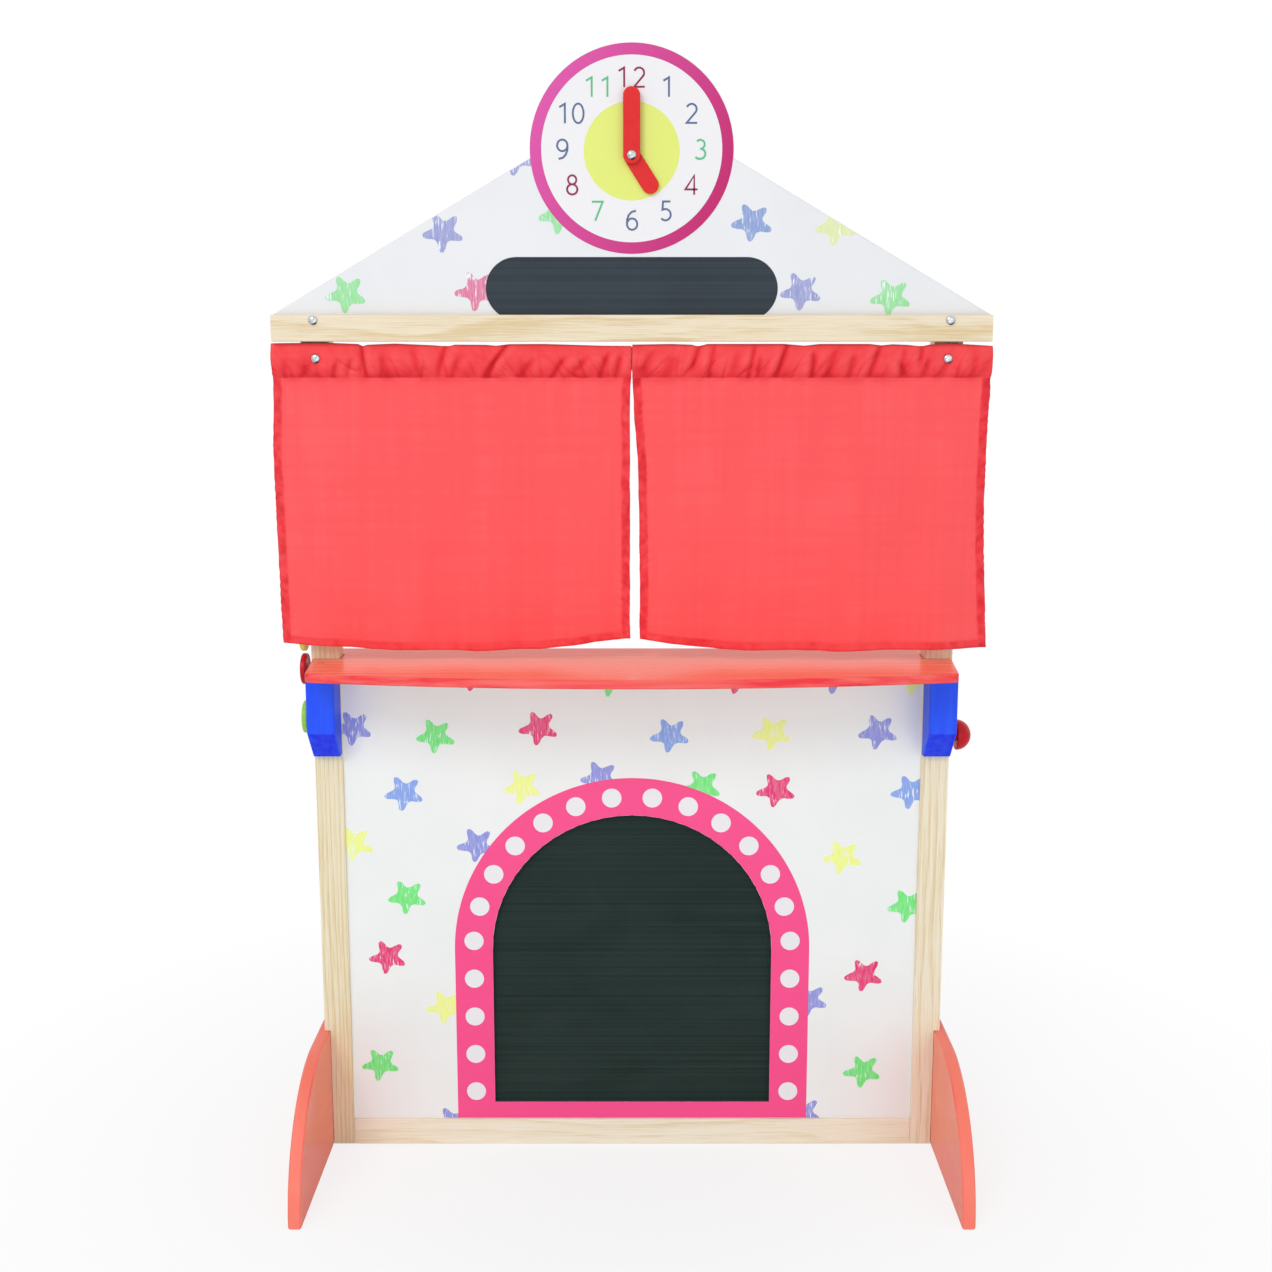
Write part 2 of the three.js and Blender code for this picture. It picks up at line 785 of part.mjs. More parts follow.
// One closed skin from rings of points that follow one another, the first and last ring capped
function skin(rings) {
  const size = rings[0].length;
  const triangles = [];
  for (let r = 1; r < rings.length; r += 1) {
    const here = r * size;
    const before = here - size;
    for (let i = 0; i < size; i += 1) {
      const j = (i + 1) % size;
      triangles.push(before + i, before + j, here + j, before + i, here + j, here + i);
    }
  }
  const last = (rings.length - 1) * size;
  for (let b = 1; b < size / 2; b += 1) {
    const [a, c, d] = [b - 1, size - b - 1, size - b];
    triangles.push(a, d, c, a, c, b);
    triangles.push(last + a, last + c, last + d, last + a, last + b, last + c);
  }
  const geometry = new THREE.BufferGeometry();
  geometry.setAttribute("position", new THREE.Float32BufferAttribute(rings.flat(2), 3));
  geometry.setIndex(triangles);
  return geometry;
}

// Curtain pocket: a flattened sleeve of cloth round the rail, drawn in to the seam below it
const pocketStations = 22;
const puckerDepth = 0.9; // how far the gathers stand out of the sleeve
const puckerPitch = 47;
const shoulder = 3; // how far the sleeve rounds over the rail's upper edges
const seamHalf = 0.4; // half the thickness where pocket and panel are sewn together

function sleeveSection(x) {
  const pucker = (puckerDepth / 2) * (1 + Math.sin((2 * Math.PI * x) / puckerPitch));
  const front = pocketFront - pucker;
  const waist = curtainRailFoot - clothGap - clothThickness;
  return [
    [x, pocketBack, waist],
    [x, pocketBack, pocketTop - shoulder],
    [x, pocketBack - shoulder, pocketTop],
    [x, front + shoulder, pocketTop],
    [x, front, pocketTop - shoulder],
    [x, front, waist],
    [x, curtainPlane - seamHalf, pocketFoot],
    [x, curtainPlane + seamHalf, pocketFoot],
  ];
}

function boreSection(x) {
  const front = curtainRailFront - clothGap;
  const back = curtainRailBack + clothGap;
  return [
    [x, back, curtainRailFoot - clothGap],
    [x, back, curtainRailTop + clothGap],
    [x, front, curtainRailTop + clothGap],
    [x, front, curtainRailFoot - clothGap],
  ];
}

function makePocket(side) {
  const ends = [side * (curtainMeetGap / 2), side * (outerX + curtainOverhang)];
  const from = Math.min(...ends);
  const to = Math.max(...ends);
  const rings = [];
  for (let i = 0; i <= pocketStations; i += 1) {
    rings.push(sleeveSection(from + ((to - from) * i) / pocketStations));
  }
  const bore = skin([from - overrun, to + overrun].map(boreSection));
  return cut(skin(rings), bore, boltHole(side * boltX, curtainBoltZ, pocketFront, pocketBack));
}

// Hanging curtain panel: folds that grow towards the hem, which is turned up and sewn
const panelColumns = 40;
const panelRows = 8;
const foldSway = 33; // how far the folds drift sideways on their way down
const hemStep = 1; // height over which the cloth steps out to the hem's thickness

function makeCurtainPanel(side) {
  const ends = [side * curtainPartGap, side * (outerX + curtainOverhang)];
  const from = Math.min(...ends);
  const to = Math.max(...ends);
  const top = pocketFoot - seamGap;
  const drop = top - curtainHem;
  const hemShare = 1 - hemHeight / drop;
  const place = (across, down) => {
    const corner = Math.abs(2 * across - 1);
    const hem = curtainHem + hemLift * corner ** 3;
    const x = from + (to - from) * across;
    const phase = (2 * Math.PI * (x + foldSway * down)) / foldPitch;
    return [x, curtainPlane + foldDepth * down * (Math.sin(phase) - 1), top + (hem - top) * down];
  };
  const rows = [{ down: 0, half: seamHalf }];
  for (let i = 1; i <= panelRows; i += 1) {
    rows.push({ down: (i / panelRows) * hemShare, half: clothThickness / 2 });
  }
  rows.push({ down: hemShare + hemStep / drop, half: hemThickness / 2 });
  rows.push({ down: 1, half: hemThickness / 2 });
  const rings = rows.map(({ down, half }) => {
    const points = [];
    for (let i = 0; i <= panelColumns; i += 1) points.push(place(i / panelColumns, down));
    const front = points.map(([x, y, z]) => [x, y - half, z]);
    const back = points.map(([x, y, z]) => [x, y + half, z]);
    return [...front, ...back.reverse()];
  });
  return skin(rings.reverse());
}

// Discs on the left post, each on a spacer and a round-headed axle
const spacerOuter = -(outerX + seat + discStandOff);
const discOuter = spacerOuter - seat - discThickness;
const axleHeadSeat = discOuter - seat;

function makeDisc(radius, z) {
  const shape = new THREE.Shape();
  shape.absarc(0, 0, radius, 0, 2 * Math.PI, false);
  const hole = new THREE.Path();
  hole.absarc(0, 0, axleRadius + runningGap + discEdge, 0, 2 * Math.PI, true);
  shape.holes.push(hole);
  return sideways(shape, discOuter, discThickness, discEdge, smallArcSteps * 2).translate(0, 0, z);
}

function makeSpacer(z) {
  const body = rodAlongX(spacerRadius, spacerOuter, spacerOuter + discStandOff, 0, z);
  const start = spacerOuter - overrun;
  const end = spacerOuter + discStandOff + overrun;
  return cut(body, rodAlongX(axleRadius + runningGap, start, end, 0, z));
}

function makeAxle(z) {
  const length = -axleHeadSeat - outerX + axleReach;
  return domedBolt(axleRadius, axleHeadRadius, axleHeadHeight, length)
    .rotateZ(Math.PI / 2)
    .translate(axleHeadSeat, 0, z);
}

// Half-round knob with a neck and a tenon, turned in one piece
function makeKnob() {
  const neckStart = outerX + seat;
  const flat = neckStart + knobNeckLength;
  const profile = [
    [0, outerX - knobTenonLength],
    [knobTenonRadius, outerX - knobTenonLength],
    [knobTenonRadius, neckStart],
    [knobNeckRadius, neckStart],
    [knobNeckRadius, flat],
    ...domePoints(knobRadius, knobRadius, flat, knobSteps),
  ];
  return turned(profile, knobSides)
    .rotateZ(-Math.PI / 2)
    .translate(0, 0, knobZ);
}

// Assembly, from the floor up
for (const { name, side } of hands) {
  addPiece(`${name}_post`, makePost(side), "pine");
  addPiece(`${name}_foot`, makeFoot(side), "redLacquer");
  addPiece(`${name}_foot_bolt_lower`, makeFootBolt(side, footBoltLow, footBoltLongReach), "steel");
  addPiece(`${name}_foot_bolt_upper`, makeFootBolt(side, footBoltHigh, footBoltReach), "steel");
  addPiece(`${name}_top_rail_dowel`, makeDowel(side), "pine");
  addPiece(`${name}_shelf_bracket`, makeBracket(side), "blueLacquer");
  addPiece(`${name}_bracket_bolt_upper`, makeBracketBolt(side, bracketBoltTop), "steel");
  addPiece(`${name}_bracket_bolt_lower`, makeBracketBolt(side, bracketBoltFoot), "steel");
  addPiece(
    `${name}_shelf_screw`,
    sunkScrew(bracketMiddle(side), shelfScrewY, shelfTop - runningGap, 0),
    "steel",
  );
}
addPiece("bottom_rail", makeBottomRail(), "pine");
addPiece("top_rail", makeTopRail(), "pine");
addPiece("front_panel", makeFrontPanel(), "whiteBoard");
addPiece("chalkboard", makeChalkboard(), "chalkboard");
for (const { name, x, z } of boardScrews) addPiece(name, makeBoardScrew(x, z), "steel");
addPiece("shelf", makeShelf(), "redLacquer");

addPiece("gable_board", makeGableBoard(), "whiteBoard");
addPiece("gable_rail", makeGableRail(), "pine");
addPiece("curtain_rail", makeCurtainRail(), "pine");
for (const { name, side } of hands) {
  addPiece(`${name}_curtain_pocket`, makePocket(side), "redCloth");
  addPiece(`${name}_curtain_panel`, makeCurtainPanel(side), "redCloth");
  const gableSeat = railFront - seat;
  const gableNut = postRear + seat;
  const gableShank = gableNut + nutHeight + boltEnd - gableSeat;
  const upperZ = railFoot + upperBoltHeight;
  addPiece(`${name}_gable_bolt`, frontBolt(side * boltX, upperZ, gableSeat, gableShank), "steel");
  addPiece(`${name}_gable_nut`, hexNut(side * boltX, upperZ, gableNut), "steel");
  const curtainSeat = pocketFront - puckerDepth - seat;
  const curtainShank = gableNut + nutHeight + boltEnd - curtainSeat;
  addPiece(
    `${name}_curtain_bolt`,
    frontBolt(side * boltX, curtainBoltZ, curtainSeat, curtainShank),
    "steel",
  );
  addPiece(`${name}_curtain_nut`, hexNut(side * boltX, curtainBoltZ, gableNut), "steel");
}

addPiece("dial_washer", makeClockWasher(washerY), "steel");
addPiece("hour_hand", makeHand(hourReach, hourHandY, hourAngle), "handRed");
addPiece("hand_washer", makeClockWasher(middleWasherY), "steel");
addPiece("minute_hand", makeHand(minuteReach, minuteHandY, 0), "handRed");
const clockNutStart = gableBack + seat;
const clockShank = clockNutStart + nutHeight + boltEnd - clockBoltSeat;
addPiece("clock_bolt", frontBolt(0, pivotZ, clockBoltSeat, clockShank), "steel");
addPiece("clock_nut", hexNut(0, pivotZ, clockNutStart), "steel");

for (const { name, finish, radius, z } of discs) {
  addPiece(name, makeDisc(radius, z), finish);
  addPiece(`${name}_spacer`, makeSpacer(z), "pine");
  addPiece(`${name}_axle`, makeAxle(z), "steel");
}
addPiece("side_knob", makeKnob(), "darkRedPaint");

export default stand;
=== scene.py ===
"""A wooden puppet theatre stand in a plain photographer's studio.

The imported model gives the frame: every rigid solid stays where it is and gets its finish here. The
curtains, the round-headed bolts, the discs and the knob are made again with more detail, and the
printed boards get their stars, dial, sign and arch as thin films of ink.
"""

from __future__ import annotations

import logging
import math
import random
from dataclasses import dataclass, field
from enum import Enum
from typing import Callable, Mapping, Sequence

import bpy
import numpy as np
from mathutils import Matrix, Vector, noise
from mathutils.geometry import tessellate_polygon

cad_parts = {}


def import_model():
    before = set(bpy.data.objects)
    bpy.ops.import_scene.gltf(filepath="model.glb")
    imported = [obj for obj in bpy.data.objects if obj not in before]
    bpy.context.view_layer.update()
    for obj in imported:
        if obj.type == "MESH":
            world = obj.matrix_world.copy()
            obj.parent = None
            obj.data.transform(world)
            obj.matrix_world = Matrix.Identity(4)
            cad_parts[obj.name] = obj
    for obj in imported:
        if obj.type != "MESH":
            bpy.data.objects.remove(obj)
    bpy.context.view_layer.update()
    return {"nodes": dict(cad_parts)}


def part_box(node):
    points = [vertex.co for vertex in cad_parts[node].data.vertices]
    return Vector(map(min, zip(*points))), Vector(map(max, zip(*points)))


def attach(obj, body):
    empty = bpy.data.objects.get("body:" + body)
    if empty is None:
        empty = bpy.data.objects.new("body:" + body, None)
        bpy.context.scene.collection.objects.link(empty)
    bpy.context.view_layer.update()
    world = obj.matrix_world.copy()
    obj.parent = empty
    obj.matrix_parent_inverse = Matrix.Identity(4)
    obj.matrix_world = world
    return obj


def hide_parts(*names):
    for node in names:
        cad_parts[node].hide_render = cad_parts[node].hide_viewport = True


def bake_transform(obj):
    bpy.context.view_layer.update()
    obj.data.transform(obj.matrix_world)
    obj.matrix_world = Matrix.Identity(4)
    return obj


MM = 0.001
LOG = logging.getLogger("puppet_theatre")

Point = tuple[float, float]
Triple = tuple[float, float, float]
Colour = tuple[float, float, float, float]
Outline = list[Point]
Faces = list[tuple[int, ...]]
Inputs = dict[str | int, object]
Socket = bpy.types.NodeSocket
Node = bpy.types.Node
Stop = tuple[float, str | float | Colour]

WHITE = "FFFFFF"
BLACK = "000000"
# Lengths and areas under these count as none
LEAST_MM = 1e-6
LEAST_MM2 = 1e-7


class Way(Enum):
    """The ways that faces and bolt heads look."""

    LEFT = (-1.0, 0.0, 0.0)
    RIGHT = (1.0, 0.0, 0.0)
    FRONT = (0.0, -1.0, 0.0)
    REAR = (0.0, 1.0, 0.0)
    UP = (0.0, 0.0, 1.0)
    DOWN = (0.0, 0.0, -1.0)


# Colours and nodes


def linear(hex_colour: str) -> Colour:
    """Turn an sRGB hex colour into linear light.

    Args:
        hex_colour: Six hex digits, such as "FC5558".

    Returns:
        Linear red, green and blue, and an alpha of 1.
    """
    channels = []
    for start in (0, 2, 4):
        value = int(hex_colour[start : start + 2], 16) / 255
        channels.append(value / 12.92 if value <= 0.04045 else ((value + 0.055) / 1.055) ** 2.4)
    return (channels[0], channels[1], channels[2], 1.0)


def blended(first: str, second: str, share: float) -> Colour:
    """The linear colour at a share of the way from one hex colour to another."""
    return tuple(a + share * (b - a) for a, b in zip(linear(first), linear(second)))


def cube(size: float) -> Triple:
    """A cell with three equal sides."""
    return (size, size, size)


@dataclass(frozen=True)
class Nodes:
    """The nodes of a material or a world."""

    tree: bpy.types.NodeTree

    @classmethod
    def of(cls, owner: bpy.types.Material | bpy.types.World) -> Nodes:
        """Start an owner's nodes afresh.

        Args:
            owner: A material or the world.

        Returns:
            Its nodes.
        """
        owner.use_nodes = True
        owner.node_tree.nodes.clear()
        return cls(owner.node_tree)

    def add(
        self,
        kind: str,
        inputs: Inputs | None = None,
        stops: Sequence[Stop] = (),
        **settings: object,
    ) -> Node:
        """Add one node with its settings and links.

        Args:
            kind: The node's type, without its first word ShaderNode.
            inputs: Socket name or number to a constant, to the output that feeds it, or to a node
                whose first output in use does.
            stops: Positions from 0 to 1, each with a hex colour, a grey level or a linear colour.
            **settings: Properties of the node itself.

        Returns:
            The new node.
        """
        node = self.tree.nodes.new(f"ShaderNode{kind}")
        for name, value in settings.items():
            setattr(node, name, value)
        for socket, value in (inputs or {}).items():
            if isinstance(value, Node):
                value = next(output for output in value.outputs if output.enabled)
            if isinstance(value, Socket):
                self.tree.links.new(value, node.inputs[socket])
            else:
                node.inputs[socket].default_value = value
        if stops:
            elements = node.color_ramp.elements
            while len(elements) < len(stops):
                elements.new(0.5)
            for element, (position, shade) in zip(elements, stops):
                element.position = position
                if isinstance(shade, str):
                    shade = linear(shade)
                element.color = shade if isinstance(shade, tuple) else (*cube(shade), 1.0)
        return node

    def cells(self, size_mm: Triple, shift: Triple = (0, 0, 0), **inputs: float) -> Inputs:
        """Lay a texture in object space, in cells of a real size.

        Args:
            size_mm: Size of the cells along X, Y and Z.
            shift: A shift in cells.
            **inputs: The texture's other inputs where they aren't the usual ones.

        Returns:
            The texture's inputs.
        """
        where = self.add("TexCoord").outputs["Object"]
        scale = tuple(1 / (size * MM) for size in size_mm)
        placed = self.add("Mapping", {"Vector": where, "Scale": scale, "Location": shift})
        return {"Vector": placed, "Scale": 1.0} | inputs

    def facing(self, way: Triple, limits: Point, both: bool = False) -> Node:
        """How far a surface faces one way.

        Args:
            way: The direction.
            limits: The cosines at which the result is 0 and 1.
            both: Whether the opposite way counts as well.

        Returns:
            A node that gives 0 to 1.
        """
        normal = self.add("NewGeometry").outputs["Normal"]
        turned = self.add("VectorMath", {0: normal, 1: way}, operation="DOT_PRODUCT")
        if both:
            turned = self.add("Math", {0: turned}, operation="ABSOLUTE")
        none, full = limits
        return self.add("MapRange", {"Value": turned, "From Min": none, "From Max": full})


# Finishes


@dataclass(frozen=True)
class Finish:
    """A surface finish, whose material is built once."""

    name: str
    base: str
    roughness: float

    def material(self) -> bpy.types.Material:
        """Build the finish's material the first time it is asked for.

        Returns:
            The material.
        """
        made = bpy.data.materials.get(self.name)
        if made is None:
            made = bpy.data.materials.new(self.name)
            nodes = Nodes.of(made)
            plain = {"Base Color": linear(self.base), "Roughness": self.roughness}
            shader = nodes.add("BsdfPrincipled", plain | self.look(nodes))
            nodes.add("OutputMaterial", {"Surface": shader})
        return made

    def look(self, nodes: Nodes) -> Inputs:
        """Add the finish's pattern and return the shader's inputs that it sets."""
        return {}

    def uneven(self, nodes: Nodes, pattern: Node, less: float, more: float) -> Node:
        """A roughness that a pattern takes a little under and over the finish's own."""
        limits = {"To Min": self.roughness - less, "To Max": self.roughness + more}
        return nodes.add("MapRange", {"Value": pattern} | limits)


class Grain(Enum):
    """The axis that a board's grain runs along."""

    ALONG_X = 0
    ALONG_Z = 2


@dataclass(frozen=True)
class SandedPine(Finish):
    """Planed and sanded pine under clear satin varnish.

    Growth rings cut lengthways show as long, slightly darker lines with pale wood between them:
    close and straight on a quarter-sawn post, broad and wandering on a flat-sawn rail. Sizes with
    two numbers are across and along the grain.
    """

    grain: Grain
    seed: float
    ring_mm: Point = (3.4, 2600.0)
    wander_mm: Point = (26.0, 330.0)
    wander: float = 3.0
    contrast: float = 0.6
    late: str = "DDC595"
    early: str = "F3E7CC"
    fibre_mm: Point = (0.9, 45.0)
    tone_mm: Point = (17.0, 260.0)
    ring_tilt: Triple = (1.0, 0.55, 1.0)

    def cell(self, size: Point) -> Triple:
        """A cell's size along X, Y and Z from its sizes across and along the grain."""
        return tuple(size[axis == self.grain.value] for axis in range(3))

    def look(self, nodes: Nodes) -> Inputs:
        """Add growth rings, fibres and slow changes of tone along the grain.

        Args:
            nodes: The material's nodes.

        Returns:
            The shader's inputs that it sets.
        """
        seed, cell = self.seed, self.cell
        wander = nodes.add(
            "TexNoise", nodes.cells(cell(self.wander_mm), (seed, 3.1, 0.7 * seed), Roughness=0.45)
        )
        where = nodes.cells(cell(self.ring_mm), (seed, 0, 0))["Vector"]
        rings_at = nodes.add("VectorMath", {0: where, 1: self.ring_tilt}, operation="DOT_PRODUCT")
        turns = {0: wander, 1: self.wander, 2: rings_at}
        saw = nodes.add(
            "Math", {0: nodes.add("Math", turns, operation="MULTIPLY_ADD")}, operation="FRACT"
        )
        # Early wood darkens slowly into late wood, then stops at once
        year = ((0.0, 0.0), (0.5, 0.15), (0.88, 0.8), (1.0, 0.0))
        rings = nodes.add("ValToRGB", {"Fac": saw}, year)
        fibres = nodes.add(
            "TexNoise", nodes.cells(cell(self.fibre_mm), (seed, 1, 2), Detail=3.0, Roughness=0.6)
        )
        tone = nodes.add("TexNoise", nodes.cells(cell(self.tone_mm), (2, seed, 1), Detail=1.5))
        slow = nodes.add("Math", {0: tone, 1: 0.45, 2: fibres}, operation="MULTIPLY_ADD")
        shade = nodes.add("Math", {0: rings, 1: self.contrast, 2: slow}, operation="MULTIPLY_ADD")
        tones = ((0.45, self.early), (0.8, self.base), (0.99, self.late))
        return {
            "Base Color": nodes.add("ValToRGB", {"Fac": shade}, tones),
            "Roughness": self.uneven(nodes, fibres, 0.06, 0.1),
            "Specular IOR Level": 0.35,
            "Coat Weight": 0.08,
            "Coat Roughness": 0.3,
            "Normal": nodes.add("Bump", {"Height": shade, "Distance": 0.1 * MM, "Strength": 0.4}),
        }


@dataclass(frozen=True)
class GlossLacquer(Finish):
    """Sprayed gloss lacquer on wood.

    Thick paint with a mirror over a strong colour. The grain of the wood under it shows as long
    soft streaks where the film is thinner, and the spray leaves a faint orange-peel. Faces that
    look one way may be given a colour of their own: a painted reflection, a painted shade, or a
    paler face that throws back less coloured light. Sanded edges may be duller.
    """

    thin: str = "FFA48E"
    level: float = 0.25
    streak_mm: Triple = (20.0, 20.0, 20.0)
    streak: float = 0.35
    sides: tuple[tuple[Triple, str], ...] = ()
    edge: float = 0.0
    peel_mm: float = 6.0

    def look(self, nodes: Nodes) -> Inputs:
        """Add streaks of thinner film, the colours painted on single faces and orange-peel.

        Args:
            nodes: The material's nodes.

        Returns:
            The shader's inputs that it sets.
        """
        streaks = nodes.add(
            "TexNoise", nodes.cells(self.streak_mm, (0.3, 0.2, 0.5), Detail=3.0, Roughness=0.55)
        )

        def streaked(shade: str) -> Node:
            """A colour with the streaks in it."""
            pale = blended(shade, self.thin, self.streak)
            return nodes.add("ValToRGB", {"Fac": streaks}, ((0.38, shade), (0.66, pale)))

        colour = streaked(self.base)
        for way, shade in self.sides:
            share = nodes.facing(way, (0.85, 0.97))
            colour = nodes.add("Mix", {0: share, 6: colour, 7: streaked(shade)}, data_type="RGBA")
        rough = self.uneven(nodes, streaks, 0.05, 0.06)
        if self.edge:
            rim = nodes.facing(Way.RIGHT.value, (0.6, 0.5), both=True)
            rough = nodes.add("Mix", {0: rim, 2: rough, 3: self.edge}, data_type="FLOAT")
        peel = nodes.add("TexNoise", nodes.cells(cube(self.peel_mm), Detail=1.0))
        return {
            "Base Color": colour,
            "Roughness": rough,
            "Specular IOR Level": self.level,
            "Normal": nodes.add("Bump", {"Height": peel, "Distance": 0.04 * MM, "Strength": 0.06}),
        }


@dataclass(frozen=True)
class PrintedBoard(Finish):
    """Thin board faced with a white satin film.

    Nearly flat white with a soft sheen; the film shows a very slight ripple of the board under it,
    and the sawn edges have a colour of their own, which on the panel is painted near-black as the
    shade in the window's recess.
    """

    shade: str
    cut: str
    mottle_mm: float = 85.0
    ripple_mm: float = 14.0

    def look(self, nodes: Nodes) -> Inputs:
        """Add faint mottling, ripple and the colour of the sawn edges, painted shade where it is
        dark.

        Args:
            nodes: The material's nodes.

        Returns:
            The shader's inputs that it sets.
        """
        mottle = nodes.add("TexNoise", nodes.cells(cube(self.mottle_mm), Detail=3.0))
        film = nodes.add("ValToRGB", {"Fac": mottle}, ((0.25, self.shade), (0.7, self.base)))
        edge_faces = nodes.facing(Way.REAR.value, (0.5, 0.45), both=True)
        colours = {0: edge_faces, 6: film, 7: linear(self.cut)}
        ripple = nodes.add("TexNoise", nodes.cells(cube(self.ripple_mm)))
        relief = {"Height": ripple, "Distance": 0.05 * MM, "Strength": 0.25}
        return {
            "Base Color": nodes.add("Mix", colours, data_type="RGBA"),
            "Roughness": self.uneven(nodes, ripple, 0.05, 0.05),
            "Normal": nodes.add("Bump", relief),
        }


@dataclass(frozen=True)
class PrintInk(Finish):
    """A flat film of printing ink under satin laminate: even colour with a trace of screen grain.

    A wide print may fade aslant from one ink at the upper left to another at the lower right.

    Attributes:
        darker: The colour of the other end.
        fade_mm: Distances along X and Z over which the ink changes, or zeros for a slow drift.
        middle_mm: Height of the middle of the fade.
    """

    darker: str
    fade_mm: Point = (0.0, 0.0)
    middle_mm: float = 0.0
    drift_mm: float = 70.0
    grain_mm: float = 2.5

    def look(self, nodes: Nodes) -> Inputs:
        """Add a slow drift or a fade between two inks and a fine grain.

        Args:
            nodes: The material's nodes.

        Returns:
            The shader's inputs that it sets.
        """
        if any(self.fade_mm):
            wide, high = self.fade_mm
            where = nodes.cells((wide, wide, high))["Vector"]
            slant = nodes.add("VectorMath", {0: where, 1: (-1, 0, 1)}, operation="DOT_PRODUCT")
            middle = 0.55 - self.middle_mm / high
            amount = nodes.add("Math", {0: slant, 1: middle}, operation="ADD")
        else:
            amount = nodes.add("TexNoise", nodes.cells(cube(self.drift_mm)))
        grain = nodes.add("TexNoise", nodes.cells(cube(self.grain_mm)))
        inks = ((0.0, self.darker), (1.0, self.base))
        return {
            "Base Color": nodes.add("ValToRGB", {"Fac": amount}, inks),
            "Specular IOR Level": 0.3,
            "Normal": nodes.add("Bump", {"Height": grain, "Distance": 0.02 * MM, "Strength": 0.3}),
        }


@dataclass(frozen=True)
class ScribbleInk(Finish):
    """Printed crayon scribble: upright strokes of ink that leave slivers of white between them."""

    roughness: float = 0.45
    paper: str = "F0F2F6"
    stroke_mm: Triple = (1.25, 40.0, 9.5)
    patch_mm: Triple = (15.0, 60.0, 15.0)
    gap_level: float = 0.875
    pale: float = 0.13

    def look(self, nodes: Nodes) -> Inputs:
        """Lay strokes of ink over the white board.

        Args:
            nodes: The material's nodes.

        Returns:
            The shader's inputs that it sets.
        """
        strokes = nodes.add(
            "TexNoise", nodes.cells(self.stroke_mm, Detail=1.0, Roughness=0.4, Distortion=0.35)
        )
        patches = nodes.add("TexNoise", nodes.cells(self.patch_mm, (3, 0, 1), Detail=1.0))
        cover = nodes.add("Math", {0: patches, 1: 0.45, 2: strokes}, operation="MULTIPLY_ADD")
        slivers = ((self.gap_level, 0.0), (self.gap_level + 0.06, 0.9))
        gaps = nodes.add("ValToRGB", {"Fac": cover}, slivers)
        pale = blended(self.base, WHITE, self.pale)
        ink = nodes.add("ValToRGB", {"Fac": strokes}, ((0.36, self.base), (0.6, pale)))
        colours = {0: gaps, 6: ink, 7: linear(self.paper)}
        return {"Base Color": nodes.add("Mix", colours, data_type="RGBA")}


@dataclass(frozen=True)
class ChalkboardPaint(Finish):
    """Rolled chalkboard paint: matt and near-black, with faint level lines and a breath of dust."""

    dust: str = "22312D"
    line_mm: Triple = (900.0, 50.0, 3.4)
    cloud_mm: Triple = (120.0, 80.0, 60.0)
    tooth_mm: float = 1.6

    def look(self, nodes: Nodes) -> Inputs:
        """Add level lines, a little chalk dust and a fine tooth.

        Args:
            nodes: The material's nodes.

        Returns:
            The shader's inputs that it sets.
        """
        lines = nodes.add("TexNoise", nodes.cells(self.line_mm, Detail=1.0, Roughness=0.4))
        clouds = nodes.add("TexNoise", nodes.cells(self.cloud_mm, Detail=4.0, Distortion=0.6))
        amount = nodes.add("Math", {0: clouds, 1: 0.7, 2: lines}, operation="MULTIPLY_ADD")
        tooth = nodes.add("TexNoise", nodes.cells(cube(self.tooth_mm)))
        tones = ((0.55, self.base), (1.0, self.dust))
        relief = {"Height": lines, "Distance": 0.05 * MM, "Strength": 0.22}
        return {
            "Base Color": nodes.add("ValToRGB", {"Fac": amount}, tones),
            "Roughness": self.uneven(nodes, tooth, 0.08, 0.08),
            "Specular IOR Level": 0.22,
            "Normal": nodes.add("Bump", relief),
        }


